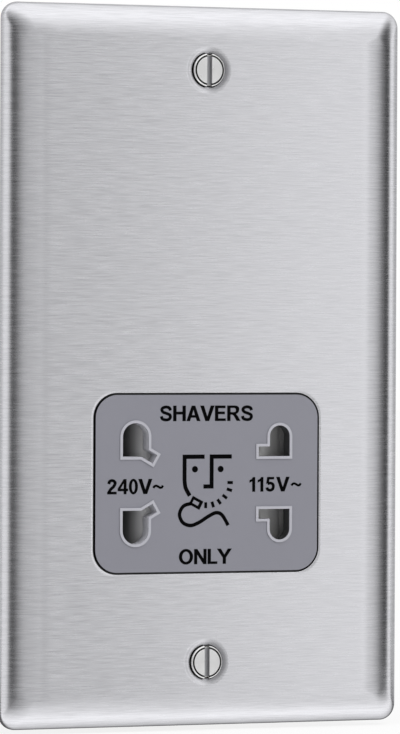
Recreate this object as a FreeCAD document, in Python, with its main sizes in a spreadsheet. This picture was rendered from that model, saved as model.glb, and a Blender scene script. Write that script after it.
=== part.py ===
import FreeCAD, Part
import math
import os
import re
import Sketcher

# Shaver supply unit for a bathroom wall.
# Frame: X to the right, Y into the wall, Z up. The origin is the centre of the plate's
# back edge, so the wall's surface is the plane Y = 0 and the plate stands on its -Y side.

SIZES = {
    # How far a cutting tool runs past the face that it opens
    "past": 1.0,
    # Pressed steel plate, and how far inside its edge the chassis ends
    "frame_inset": 7.4,
    "plate_depth": 4.2,
    "plate_sheet": 0.9,
    "plate_corner": 3.4,
    "crown_run": 7.0,
    "crown_bend": 9.5,
    "rim_bend": 1.5,
    # Fixing screws and their dimpled seats
    "fixing_pitch": 120.6,
    "seat_rim": 3.65,
    "seat_hole": 1.9,
    "dimple_wall": 1.2,
    "fixing_head": 3.35,
    "fixing_face": 3.07,
    "fixing_proud": 0.55,
    "fixing_bevel": 0.2,
    "fixing_core": 1.38,
    "fixing_thread": 1.75,
    "fixing_thread_start": 1.0,
    "fixing_reach": 24.0,
    "fixing_slot": 1.1,
    "fixing_slot_depth": 1.0,
    "seat_gap": 0.08,
    # Socket insert, centred socket_drop under the plate's centre
    "socket_drop": 23.8,
    "face_width": 48.5,
    "face_edge": 2.0,
    "flange_side": 3.25,
    "flange_edge": 2.25,
    "face_corner": 4.7,
    "face_proud": 0.2,
    "face_gap": 0.38,
    "flange_corner": 3.0,
    "lip_width": 0.55,
    "lip_height": 0.2,
    # Apertures: high is the outlet on the left, low the one on the right
    "pin_spread": 19.0,
    "high_centre": 15.65,
    "high_slot": 2.8,
    "high_inner": 5.45,
    "high_leg_reach": 11.5,
    "high_leg_rise": 4.93,
    "high_leg_length": 7.0,
    "high_leg_width": 2.0,
    "high_leg_tilt": 30.0,
    "low_centre": 15.85,
    "low_slot": 2.2,
    "low_inner": 5.4,
    "low_leg_reach": 11.2,
    "low_leg_width": 2.0,
    # Moulded chassis
    "frame_corner": 4.0,
    "frame_thick": 2.0,
    "frame_rib": 1.0,
    "frame_rib_height": 1.1,
    "frame_gap": 0.3,
    "lug_radius": 5.0,
    "lug_gap": 0.3,
    "lug_edge": 0.7,
    "pilot_gap": 0.05,
    "pilot_skin": 0.2,
    "pillar_side": 6.0,
    # Socket body, shutter and springs
    "channel_side": 1.3,
    "channel_depth": 5.4,
    "tray_wall": 1.2,
    "tray_floor": 1.6,
    "chamber_width": 9.2,
    "chamber_in": 5.1,
    "chamber_out": 4.7,
    "body_rear": 17.6,
    "chamber_rear_wall": 1.5,
    "body_side": 1.45,
    "body_edge": 2.4,
    "body_corner": 2.0,
    "core_well_half": 8.6,
    "slide_gap": 0.15,
    "shutter_half": 21.0,
    "shutter_travel": 10.0,
    "travel_room": 0.6,
    "shutter_bar_inner": 3.4,
    "shutter_web_half": 5.0,
    "shutter_flat": 2.2,
    "ramp_run": 6.6,
    "ramp_depth": 3.8,
    "post_radius": 0.9,
    "post_length": 2.4,
    "spring_mean": 1.95,
    "spring_wire": 0.25,
    "spring_turns": 7.5,
    "spring_gap": 0.1,
    # Switch inside the shutter's channel
    "strip_thick": 0.4,
    "strip_width": 1.8,
    "strip_offset": 1.7,
    "strip_half": 13.0,
    "strip_start": 6.0,
    "strip_gap": 0.1,
    "strip_leg": 3.0,
    "strip_link_gap": 1.0,
    "bridge_half": 4.2,
    "bridge_rise": 2.9,
    "bridge_thick": 0.4,
    "bridge_dome": 0.12,
    "bridge_gap": 0.1,
    # Pin clips
    "clip_grip": 2.35,
    "clip_mouth": 3.2,
    "clip_metal": 0.5,
    "clip_half": 3.5,
    "clip_front": 6.4,
    "clip_flare": 2.4,
    "clip_belly": 0.2,
    "clip_gap": 0.2,
    "clip_tail_width": 2.4,
    "clip_tail": 1.0,
    "bus_rise": 2.2,
    # Transformer
    "core_width": 48.0,
    "core_front": 9.0,
    "core_side": 1.4,
    "core_head": 2.2,
    "bobbin_wall": 0.8,
    "bobbin_gap": 0.15,
    "bobbin_edge": 0.3,
    "winding_inset": 0.9,
    "winding_build": 7.5,
    "winding_round": 3.0,
    "bobbin_round": 1.0,
    "tape_thick": 0.25,
    "strap_thick": 0.8,
    "strap_width": 6.0,
    "strap_tab": 3.0,
    "tab_recess": 0.3,
    "cutout_radius": 1.5,
    "cutout_length": 12.0,
    "cutout_gap": 0.1,
    # Rear case
    "case_wall": 1.8,
    "case_rear": 38.0,
    "case_foot": 1.0,
    "case_corner": 2.5,
    "shoulder_rear": 7.6,
    "shoulder_gap": 0.2,
    "ear_side": 5.2,
    "ear_radius": 2.8,
    "ear_front": 1.0,
    "ear_thick": 2.0,
    "ear_drop": 9.0,
    "ear_gap": 0.6,
    "ear_hole_gap": 0.2,
    "vent_corner": 0.99,
    "vent_width": 2.0,
    "vent_length": 26.0,
    "vent_pitch": 5.0,
    "case_screw_head": 2.4,
    "case_screw_rise": 1.5,
    "case_screw_shank": 1.2,
    "case_screw_reach": 5.6,
    "case_screw_slot": 0.7,
    "pan_slot_depth": 0.7,
    # Terminals
    "well_side": 2.5,
    "well_rise": 13.5,
    "well_front": 22.8,
    "terminal_pitch": 12.0,
    "terminal_width": 8.0,
    "terminal_length": 10.0,
    "terminal_depth": 9.5,
    "terminal_bore": 1.7,
    "terminal_bore_depth": 3.6,
    "terminal_screw": 1.7,
    "terminal_head": 2.7,
    "terminal_head_rise": 1.6,
    "terminal_drop": 1.0,
    "clamp_lift": 0.4,
    "clamp_gap": 0.3,
    "clamp_slot": 0.8,
    "terminal_tail_width": 3.0,
    "terminal_tail_thick": 0.8,
    "terminal_tail": 2.0,
    "terminal_root": 0.5,
    "tail_gap": 0.1,
    "rib_thick": 1.6,
    "rib_rise": 1.0,
    "strap_earth_width": 5.0,
    "strap_earth_thick": 0.5,
    "strap_earth_gap": 0.5,
    # Inner wires
    "lead_radius": 0.8,
    "lead_gap": 0.1,
    "lead_clear": 1.4,
    "lead_turn": 1.4,
    "lead_rise": 4.5,
    "lead_climb": 5.0,
}

# Sizes that follow from others. The chassis is as wide as the shutter's channel needs, with the
# case's shoulder round it, and as tall as the screws' lugs need. The laminations keep the
# proportions that are stamped without waste: outer leg a sixth, window a half, stack a third.
FOLLOWING = {
    "channel_half": "shutter_half + shutter_travel + travel_room",
    "frame_width": "2 * (channel_half + tray_wall + 2 * shoulder_gap + case_wall + frame_rib)",
    "frame_height": "fixing_pitch + 2 * (lug_radius + lug_edge)",
    "plate_width": "frame_width + 2 * frame_inset",
    "plate_height": "frame_height + 2 * frame_inset",
    "channel_rise": "pin_spread / 2 + high_slot + channel_side",
    "body_rise": "channel_rise + body_edge",
    "face_height": "2 * (body_rise + face_edge)",
    "flange_width": "face_width + 2 * flange_side",
    "flange_height": "face_height + 2 * flange_edge",
    "body_half": "(high_centre + low_centre) / 2 + chamber_width / 2 + body_side",
    "chamber_inner": "pin_spread / 2 - chamber_in",
    "chamber_outer": "pin_spread / 2 + chamber_out",
    "ramp_end": "shutter_half - shutter_flat",
    "ramp_start": "ramp_end - ramp_run",
    "clip_inner": "pin_spread / 2 - clip_half",
    "clip_outer": "pin_spread / 2 + clip_half",
    "core_leg": "core_width / 6",
    "core_window": "core_width / 2",
    "core_stack": "core_width / 3",
    "winding_bulge": "core_stack / 2 + winding_build",
    "case_half": "core_width / 2 + strap_thick + core_side + case_wall",
    "case_top": "fixing_pitch / 2 - lug_radius - lug_gap",
    "core_middle": "case_top - case_wall - core_head - core_leg - core_window / 2",
    "ear_spread": "case_half + ear_side",
    "ear_upper": "case_top - ear_drop",
    "ear_lower": "socket_drop + body_rise + shoulder_gap + case_wall + ear_gap + ear_radius",
    "case_bottom": "ear_lower + ear_radius + case_foot",
    "well_half": "terminal_pitch + terminal_width / 2 + well_side",
    "lead_depth": "core_front + core_stack + strap_thick + lead_clear + lead_radius",
}

doc = FreeCAD.newDocument("shaver_supply_unit")
sheet = doc.addObject("Spreadsheet::Sheet", "Sizes")
for row, (alias, size) in enumerate((SIZES | FOLLOWING).items(), start=1):
    sheet.set(f"A{row}", alias)
    sheet.set(f"B{row}", str(size) if alias in SIZES else f"={size}")
    sheet.setAlias(f"B{row}", alias)
doc.recompute()

V = FreeCAD.Vector
Z_UP = V(0, 0, 1)
nodes = []

# Levels along Y, as formulas of the sheet's cells
FACE = "(0 - plate_depth)"
SHEET_BACK = "(plate_sheet - plate_depth)"
SEAT = "(plate_sheet - plate_depth + frame_thick)"
FRONT = "(0 - plate_depth - face_proud)"
FLOOR = f"({SEAT} + channel_depth)"
FLOOR_BACK = f"({SEAT} + channel_depth + tray_floor)"
STRIP_TIP = f"({FLOOR_BACK} + strip_leg)"
CHAMBER_BACK = "(body_rear - chamber_rear_wall)"
CORE_BACK = "(core_front + core_stack)"
CORE_Y = "(core_front + core_stack / 2)"
SPRING_Y = f"({SEAT} + channel_depth / 2)"
SHUTTER_FRONT = f"({SEAT} + slide_gap)"
SHUTTER_BACK = f"({FLOOR} - slide_gap)"
TAIL_TIP = "(well_front - case_wall - terminal_tail)"
# Heights along Z
SOCKET = "(0 - socket_drop)"
CORE_TOP = "(core_middle + core_window / 2 + core_leg)"
CORE_BOTTOM = "(core_middle - core_window / 2 - core_leg)"
WELL_TOP = "(well_rise - case_bottom)"
TERMINAL_HIGH = f"({WELL_TOP} - terminal_drop)"
TERMINAL_LOW = f"({TERMINAL_HIGH} - terminal_length)"
TERMINAL_Z = f"({TERMINAL_HIGH} - terminal_length / 2)"
BOBBIN_LOW = "(core_middle - core_window / 2 + bobbin_gap)"
BOBBIN_HIGH = "(core_middle + core_window / 2 - bobbin_gap)"
# The earth strap runs just inside the case's lower wall
EARTH_LOW = "(case_wall - case_bottom + strap_earth_gap)"
# Places along X, and the bobbin's bore, tube and flanges about the middle leg
TERMINAL_PLACES = {"live": "(0 - terminal_pitch)", "earth": "0", "neutral": "terminal_pitch"}
BORE = ("2 * (core_leg + bobbin_gap)", "core_stack + 2 * bobbin_gap")
TUBE = ("2 * (core_leg + bobbin_gap + bobbin_wall)", "core_stack + 2 * (bobbin_gap + bobbin_wall)")
REACH_X = "(core_width / 2 - core_leg - bobbin_edge)"
REACH_Y = "winding_bulge"


def sized(formula):
    """A formula in plain words, with each size pointed at its cell in the sheet."""
    return re.sub(r"\b(?!cos\b|sin\b|tan\b)([a-z][a-z_]+)\b", r"Sizes.\1", str(formula))


def value(formula):
    return float(sheet.evalExpression(sized(formula)))


def bind(obj, place, formula):
    obj.setExpression(place, sized(formula))


def add(kind, name):
    return doc.addObject(kind, name)


def block(name, x, y, z):
    """A box between two formulas along each axis."""
    box = add("Part::Box", name)
    for letter, side, (low, high) in zip("xyz", ("Length", "Width", "Height"), (x, y, z)):
        bind(box, side, f"({high}) - ({low})")
        bind(box, f"Placement.Base.{letter}", low)
    return box


TURNS = {
    "x": FreeCAD.Rotation(V(0, 1, 0), 90),
    "y": FreeCAD.Rotation(V(1, 0, 0), -90),
    "z": FreeCAD.Rotation(),
}


def aim(obj, along, span, at):
    """Stand a turned solid on its axis, with its foot at the span's start."""
    low, high = span
    obj.Placement = FreeCAD.Placement(V(0, 0, 0), TURNS[along])
    bind(obj, "Height", f"({high}) - ({low})")
    bind(obj, f"Placement.Base.{along}", low)
    for letter, formula in zip([a for a in "xyz" if a != along], at):
        bind(obj, f"Placement.Base.{letter}", formula)
    return obj


def rod(name, along, radius, span, at):
    cylinder = add("Part::Cylinder", name)
    bind(cylinder, "Radius", radius)
    return aim(cylinder, along, span, at)


def cone(name, along, radii, span, at):
    taper = add("Part::Cone", name)
    bind(taper, "Radius1", radii[0])
    bind(taper, "Radius2", radii[1])
    return aim(taper, along, span, at)


def join(name, *pieces):
    fuse = add("Part::MultiFuse", name)
    fuse.Shapes = list(pieces)
    fuse.Refine = True
    return fuse


def overlap(name, *pieces):
    shared = add("Part::MultiCommon", name)
    shared.Shapes = list(pieces)
    return shared


def cut(name, base, *tools):
    tool = tools[0] if len(tools) == 1 else join(name + "_tools", *tools)
    left = add("Part::Cut", name)
    left.Base = base
    left.Tool = tool
    left.Refine = True
    return left


def group(name, *pieces):
    several = add("Part::Compound", name)
    several.Links = list(pieces)
    return several


def mirrored(name, source, normal, level="0"):
    twin = add("Part::Mirroring", name)
    twin.Source = source
    twin.Normal = normal
    letter = "xyz"[[abs(c) > 0.5 for c in normal].index(True)]
    bind(twin, f"Base.{letter}", level)
    return twin


# Sketches: XY runs up along Z, XZ forward along -Y, YZ to the right along X


def sketch_on(body, plane, at, tilt=0.0, turn=None):
    sketch = body.newObject("Sketcher::SketchObject", body.Name + "_outline")
    role = plane + "_Plane"
    origin_plane = next(o for o in body.Origin.OriginFeatures if o.Role == role)
    sketch.AttachmentSupport = [(origin_plane, "")]
    sketch.MapMode = "FlatFace"
    turn = turn or FreeCAD.Rotation(Z_UP, tilt)
    sketch.AttachmentOffset = FreeCAD.Placement(V(0, 0, 0), turn)
    for letter, formula in zip("xyz", at):
        bind(sketch, f"AttachmentOffset.Base.{letter}", formula)
    return sketch


def hold(sketch, kind, *places_and_formula):
    """Add a driving size to a sketch and tie it to a formula."""
    places, formula = places_and_formula[:-1], places_and_formula[-1]
    number = sketch.addConstraint(Sketcher.Constraint(kind, *places, value(formula)))
    bind(sketch, f"Constraints[{number}]", formula)


def arc(centre, radius, start, end):
    return Part.ArcOfCircle(Part.Circle(centre, Z_UP, radius), start, end)


def draw_rectangle(sketch, width, height, radius):
    """A rectangle centred on the sketch's origin, its corners rounded if a radius is given."""
    w, h = value(width) / 2, value(height) / 2
    r = value(radius) if radius else 0.0
    left_side, right_side = V(-w, -h + r, 0), V(w, -h + r, 0)
    sketch.addGeometry([
        Part.LineSegment(V(-w + r, -h, 0), V(w - r, -h, 0)),
        Part.LineSegment(right_side, V(w, h - r, 0)),
        Part.LineSegment(V(w - r, h, 0), V(-w + r, h, 0)),
        Part.LineSegment(V(-w, h - r, 0), left_side),
    ])
    sides = range(4)
    if radius:
        quarter = math.pi / 2
        corners = [(w - r, r - h, 3), (w - r, h - r, 0), (r - w, h - r, 1), (r - w, r - h, 2)]
        for x, y, step in corners:
            sketch.addGeometry(arc(V(x, y, 0), r, step * quarter, (step + 1) * quarter))
        for side in sides:
            corner = side + 4
            following = (side + 1) % 4
            sketch.addConstraint(Sketcher.Constraint("Tangent", side, 2, corner, 1))
            sketch.addConstraint(Sketcher.Constraint("Tangent", corner, 2, following, 1))
        for corner in (5, 6, 7):
            sketch.addConstraint(Sketcher.Constraint("Equal", 4, corner))
        hold(sketch, "Radius", 4, radius)
    else:
        for side in sides:
            sketch.addConstraint(Sketcher.Constraint("Coincident", side, 2, (side + 1) % 4, 1))
    for side in (0, 2):
        sketch.addConstraint(Sketcher.Constraint("Horizontal", side))
    for side in (1, 3):
        sketch.addConstraint(Sketcher.Constraint("Vertical", side))
    hold(sketch, "DistanceX", 3, 1, 1, 1, width)
    hold(sketch, "DistanceY", 0, 1, 2, 1, height)
    hold(sketch, "DistanceX", -1, 1, 1, 1, f"({width}) / 2")
    hold(sketch, "DistanceY", -1, 1, 2, 1, f"({height}) / 2")


def pad(body, sketch, length):
    solid = body.newObject("PartDesign::Pad", body.Name + "_pad")
    solid.Profile = sketch
    bind(solid, "Length", length)
    return solid


def start_of(plane, span):
    """The sketch's offset along its normal, which for XZ points to -Y."""
    low, high = span
    return f"0 - ({high})" if plane == "XZ" else low


def slab(name, plane, size, radius, span, at=("0", "0"), tilt=0.0):
    """A padded rectangle, with round corners if a radius is given."""
    body = add("PartDesign::Body", name)
    sketch = sketch_on(body, plane, (*at, start_of(plane, span)), tilt)
    draw_rectangle(sketch, size[0], size[1], radius)
    pad(body, sketch, f"({span[1]}) - ({span[0]})")
    return body


def prism(name, plane, points, span):
    """A padded polygon whose corners are pairs of formulas."""
    body = add("PartDesign::Body", name)
    sketch = sketch_on(body, plane, ("0", "0", start_of(plane, span)))
    corners = [V(value(a), value(b), 0) for a, b in points]
    for number, corner in enumerate(corners):
        following = corners[(number + 1) % len(corners)]
        sketch.addGeometry(Part.LineSegment(corner, following))
    for number, (a, b) in enumerate(points):
        following = (number + 1) % len(points)
        sketch.addConstraint(Sketcher.Constraint("Coincident", number, 2, following, 1))
        hold(sketch, "DistanceX", -1, 1, number, 1, a)
        hold(sketch, "DistanceY", -1, 1, number, 1, b)
    pad(body, sketch, f"({span[1]}) - ({span[0]})")
    return body


def keep(obj, label):
    """Mark a finished piece: its label names the file it is written to."""
    obj.Label = label
    nodes.append(obj)
    return obj


# Front plate


def crowned_bar(name, plane, turn, across, length, inset):
    """The plate's edge profile, flat on top with a rolled edge each side, padded both ways."""
    half = f"(({across}) / 2 - ({inset}))"
    flat = f"(({across}) / 2 - crown_run)"
    top = f"(plate_depth - ({inset}))"
    bend = f"(crown_bend - ({inset}))"
    rim = f"(rim_bend - ({inset}))"
    w, a, h, big, small = (value(f) for f in (half, flat, top, bend, rim))
    rim_height = h - big + math.sqrt((big - small) ** 2 - (w - small - a) ** 2)
    meet = math.atan2(rim_height - (h - big), w - small - a)
    body = add("PartDesign::Body", name)
    sketch = sketch_on(body, plane, ("0", "0", "0"), turn=turn)
    sketch.addGeometry([
        Part.LineSegment(V(-w, 0, 0), V(w, 0, 0)),
        Part.LineSegment(V(w, 0, 0), V(w, rim_height, 0)),
        arc(V(w - small, rim_height, 0), small, 0, meet),
        arc(V(a, h - big, 0), big, meet, math.pi / 2),
        Part.LineSegment(V(a, h, 0), V(-a, h, 0)),
        arc(V(-a, h - big, 0), big, math.pi / 2, math.pi - meet),
        arc(V(small - w, rim_height, 0), small, math.pi - meet, math.pi),
        Part.LineSegment(V(-w, rim_height, 0), V(-w, 0, 0)),
    ])
    for first, second in ((0, 1), (7, 0)):
        sketch.addConstraint(Sketcher.Constraint("Coincident", first, 2, second, 1))
    for first in range(1, 7):
        sketch.addConstraint(Sketcher.Constraint("Tangent", first, 2, first + 1, 1))
    for line, kind in ((0, "Horizontal"), (4, "Horizontal"), (1, "Vertical"), (7, "Vertical")):
        sketch.addConstraint(Sketcher.Constraint(kind, line))
    sketch.addConstraint(Sketcher.Constraint("PointOnObject", 0, 1, -1))
    sketch.addConstraint(Sketcher.Constraint("Equal", 3, 5))
    sketch.addConstraint(Sketcher.Constraint("Equal", 2, 6))
    hold(sketch, "Radius", 3, bend)
    hold(sketch, "Radius", 2, rim)
    hold(sketch, "DistanceX", 0, 1, 0, 2, f"2 * {half}")
    hold(sketch, "DistanceX", -1, 1, 0, 2, half)
    hold(sketch, "DistanceX", 4, 2, 4, 1, f"2 * {flat}")
    hold(sketch, "DistanceX", -1, 1, 4, 1, flat)
    hold(sketch, "DistanceY", -1, 1, 4, 1, top)
    solid = pad(body, sketch, length)
    solid.Midplane = True
    return body


def pillow(name, inset):
    """Two crowned bars crossed and trimmed to the plate's rounded corners."""
    flipped = FreeCAD.Rotation(V(1, 0, 0), 180)
    upright = FreeCAD.Rotation(Z_UP, 90)
    width, height = "plate_width", "plate_height"
    return overlap(
        name,
        crowned_bar(name + "_across", "XY", flipped, width, height, inset),
        crowned_bar(name + "_upright", "YZ", upright, height, width, inset),
        slab(name + "_plan", "XZ", (f"{width} - 2 * ({inset})", f"{height} - 2 * ({inset})"),
             f"plate_corner - ({inset})", (f"{FACE} - past", "past")),
    )


def fixing_height(sign):
    return f"{sign} * fixing_pitch / 2"


def front_plate():
    shell = cut("plate_shell", pillow("plate_outside", "0"), pillow("plate_inside", "plate_sheet"))
    seat_depth = "(seat_rim - seat_hole)"
    dimples = []
    seats = []
    for end, sign in (("upper", "1"), ("lower", "-1")):
        at = ("0", fixing_height(sign))
        wall_back = f"{FACE} + {seat_depth}"
        dimples.append(cone(
            f"dimple_{end}", "y",
            ("seat_rim + dimple_wall - plate_sheet / 2", "seat_hole + dimple_wall"),
            (f"{FACE} + plate_sheet / 2", wall_back), at))
        seats.append(cone(f"seat_{end}", "y", ("seat_rim", "seat_hole"), (FACE, wall_back), at))
        seats.append(rod(f"seat_hole_{end}", "y", "seat_hole", (FACE, "0"), at))
    window = slab("plate_window", "XZ", ("face_width + 2 * face_gap", "face_height + 2 * face_gap"),
                  "face_corner + face_gap", (f"{FACE} - past", "0"), ("0", SOCKET))
    pressed = join("plate_pressed", shell, *dimples)
    keep(cut("plate", pressed, window, *seats), "front_plate")


def slotted_head_cut(name, width, depth, face, reach, at):
    """The tool for a screwdriver slot that stands along Z in a face looking along Y."""
    x, z = at
    low, high = (face, f"{face} + {depth}")
    return block(name, (f"{x} - {width} / 2", f"{x} + {width} / 2"), (low, high),
                 (f"{z} - {reach} - past", f"{z} + {reach} + past"))


def fixing_screws():
    screws = []
    face = f"({FACE} - fixing_proud)"
    # The head's cone lies a small gap off the seat
    cone_start = f"({FACE} + seat_rim - fixing_head - seat_gap)"
    cone_end = f"({cone_start} + fixing_head - fixing_core)"
    for end, sign in (("upper", "1"), ("lower", "-1")):
        at = ("0", fixing_height(sign))
        bevel_end = f"{face} + fixing_bevel"
        whole = join(
            f"fixing_{end}_turned",
            cone(f"fixing_{end}_bevel", "y", ("fixing_face", "fixing_head"), (face, bevel_end), at),
            rod(f"fixing_{end}_rim", "y", "fixing_head", (bevel_end, cone_start), at),
            cone(f"fixing_{end}_cone", "y", ("fixing_head", "fixing_core"), (cone_start, cone_end), at),
            rod(f"fixing_{end}_core", "y", "fixing_core", (cone_end, "fixing_thread_start"), at),
            rod(f"fixing_{end}_thread", "y", "fixing_thread", ("fixing_thread_start", "fixing_reach"), at),
        )
        slot = slotted_head_cut(f"fixing_{end}_slot", "fixing_slot", "fixing_slot_depth",
                                face, "fixing_head", at)
        screws.append(cut(f"fixing_{end}", whole, slot))
    keep(group("fixings", *screws), "fixing_screws")


# Socket insert


def high_aperture(name, grow, span):
    """Round-headed slot with a leg that slants down towards the middle."""
    wide = f"(high_slot + {grow})"
    rise = "pin_spread / 2"
    centre_z = f"{SOCKET} + {rise}"
    low = f"{SOCKET} + high_inner - {grow}"
    leg_mid = "(high_leg_length / 2)"
    leg_x = f"0 - high_leg_reach - {leg_mid} * cos(high_leg_tilt)"
    leg_z = f"{SOCKET} + high_leg_rise + {leg_mid} * sin(high_leg_tilt)"
    return join(
        name,
        rod(name + "_round", "y", wide, span, ("0 - high_centre", centre_z)),
        block(name + "_slot", (f"0 - high_centre - {wide}", f"0 - high_centre + {wide}"), span,
              (low, centre_z)),
        slab(name + "_leg", "XZ", (f"high_leg_length + 2 * {grow}", f"high_leg_width + 2 * {grow}"),
             None, span, (leg_x, leg_z), tilt=-value("high_leg_tilt")),
    )


def low_aperture(name, grow, span):
    """Round-headed slot with a level leg towards the middle."""
    wide = f"(low_slot + {grow})"
    centre_z = f"{SOCKET} + pin_spread / 2"
    low = f"{SOCKET} + low_inner - {grow}"
    return join(
        name,
        rod(name + "_round", "y", wide, span, ("low_centre", centre_z)),
        block(name + "_slot", (f"low_centre - {wide}", f"low_centre + {wide}"), span, (low, centre_z)),
        block(name + "_leg", (f"low_leg_reach - {grow}", "low_centre"), span,
              (low, f"{SOCKET} + low_inner + low_leg_width + {grow}")),
    )


def apertures(name, grow, span):
    """All four apertures as one tool: the lower two mirror the upper two."""
    upper = join(name + "_upper", high_aperture(name + "_high", grow, span),
                 low_aperture(name + "_low", grow, span))
    return group(name, upper, mirrored(name + "_mirrored", upper, Z_UP, SOCKET))


def socket_face():
    lip_front = f"{FRONT} - lip_height"
    flange = slab("face_flange", "XZ", ("flange_width", "flange_height"), "flange_corner",
                  (SHEET_BACK, SEAT), ("0", SOCKET))
    boss = slab("face_boss", "XZ", ("face_width", "face_height"), "face_corner",
                (FRONT, SEAT), ("0", SOCKET))
    lips = apertures("lips", "lip_width", (lip_front, SEAT))
    holes = apertures("holes", "0", (f"{lip_front} - past", f"{SEAT} + past"))
    keep(cut("face", join("face_solid", flange, boss, lips), holes), "socket_face")


# Chassis behind the plate


def ear_places():
    """Where the case is screwed to the chassis: side of X, then height."""
    for side in ("-1", "1"):
        for end, height in (("upper", "ear_upper"), ("lower", "0 - ear_lower")):
            name = ("left_" if side == "-1" else "right_") + end
            yield name, f"{side} * ear_spread", height


def strap_heights():
    """The heights of the two straps, each on the middle of a yoke."""
    return {
        "upper": f"({CORE_TOP} - core_leg / 2)",
        "lower": f"({CORE_BOTTOM} + core_leg / 2)",
    }


def base_frame():
    frame = slab("frame_plate", "XZ", ("frame_width", "frame_height"), "frame_corner",
                 (SHEET_BACK, SEAT))
    rib_back = f"{SEAT} + frame_rib_height"
    rib = cut(
        "frame_rib_ring",
        slab("frame_rib_outside", "XZ", ("frame_width", "frame_height"), "frame_corner",
             (SEAT, rib_back)),
        slab("frame_rib_inside", "XZ", ("frame_width - 2 * frame_rib", "frame_height - 2 * frame_rib"),
             "frame_corner - frame_rib", (SEAT, rib_back)),
    )
    raised = [rib]
    holes = [slab("frame_window", "XZ", ("flange_width + 2 * frame_gap", "flange_height + 2 * frame_gap"),
                  "flange_corner + frame_gap", (f"{SHEET_BACK} - past", f"{SEAT} + past"), ("0", SOCKET))]
    for end, sign in (("upper", "1"), ("lower", "-1")):
        at = ("0", fixing_height(sign))
        raised.append(rod(f"lug_{end}", "y", "lug_radius", (SEAT, rib_back), at))
        holes.append(rod(f"lug_hole_{end}", "y", "seat_hole + lug_gap", (SHEET_BACK, f"{rib_back} + past"), at))
        dimple_room = f"{FACE} + seat_rim - seat_hole + lug_gap"
        holes.append(rod(f"lug_recess_{end}", "y", "seat_rim + dimple_wall + lug_gap",
                         (f"{SHEET_BACK} - past", dimple_room), at))
    for name, x, z in ear_places():
        raised.append(rod(f"boss_{name}", "y", "ear_radius", (SEAT, "ear_front"), (x, z)))
        holes.append(rod(f"boss_pilot_{name}", "y", "case_screw_shank + pilot_gap",
                         (f"{SHEET_BACK} + pilot_skin", "ear_front + past"), (x, z)))
    for end, height in strap_heights().items():
        for side in ("-1", "1"):
            edge = f"{side} * (core_width / 2 - pillar_side / 2)"
            raised.append(block(
                f"pillar_{end}_{'left' if side == '-1' else 'right'}",
                (f"{edge} - pillar_side / 2", f"{edge} + pillar_side / 2"), (SEAT, "core_front"),
                (f"{height} - pillar_side / 2", f"{height} + pillar_side / 2")))
            middle = f"{side} * (core_width / 2 + strap_thick / 2)"
            half = "(strap_thick / 2 + frame_gap / 2)"
            holes.append(block(
                f"tab_slot_{end}_{'left' if side == '-1' else 'right'}",
                (f"{middle} - {half}", f"{middle} + {half}"), (f"{SHEET_BACK} - past", f"{SEAT} + past"),
                (f"{height} - strap_tab / 2 - frame_gap / 2", f"{height} + strap_tab / 2 + frame_gap / 2")))
    earth_half = "(strap_earth_width / 2 + frame_gap / 2)"
    holes.append(block("earth_slot", (f"0 - {earth_half}", earth_half),
                       (f"{SHEET_BACK} - past", f"{SEAT} + past"),
                       (f"{EARTH_LOW} - frame_gap / 2",
                        f"{EARTH_LOW} + strap_earth_thick + frame_gap / 2")))
    keep(cut("frame", join("frame_raised", frame, *raised), *holes), "base_frame")


# Socket body and what moves in it


def corners_of_socket():
    """The four chambers: name, sign of X, sign of Z."""
    for side, x in (("high", "-1"), ("low", "1")):
        for end, z in (("upper", "1"), ("lower", "-1")):
            yield f"{side}_{end}", x, z


def ordered(first, second):
    """Two formulas as a span from the smaller to the larger."""
    return (first, second) if value(first) < value(second) else (second, first)


def socket_rise(sign, height):
    return f"({SOCKET} + {sign} * ({height}))"


def clip_centre(x):
    return f"({x} * (high_centre + low_centre) / 2)"


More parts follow.
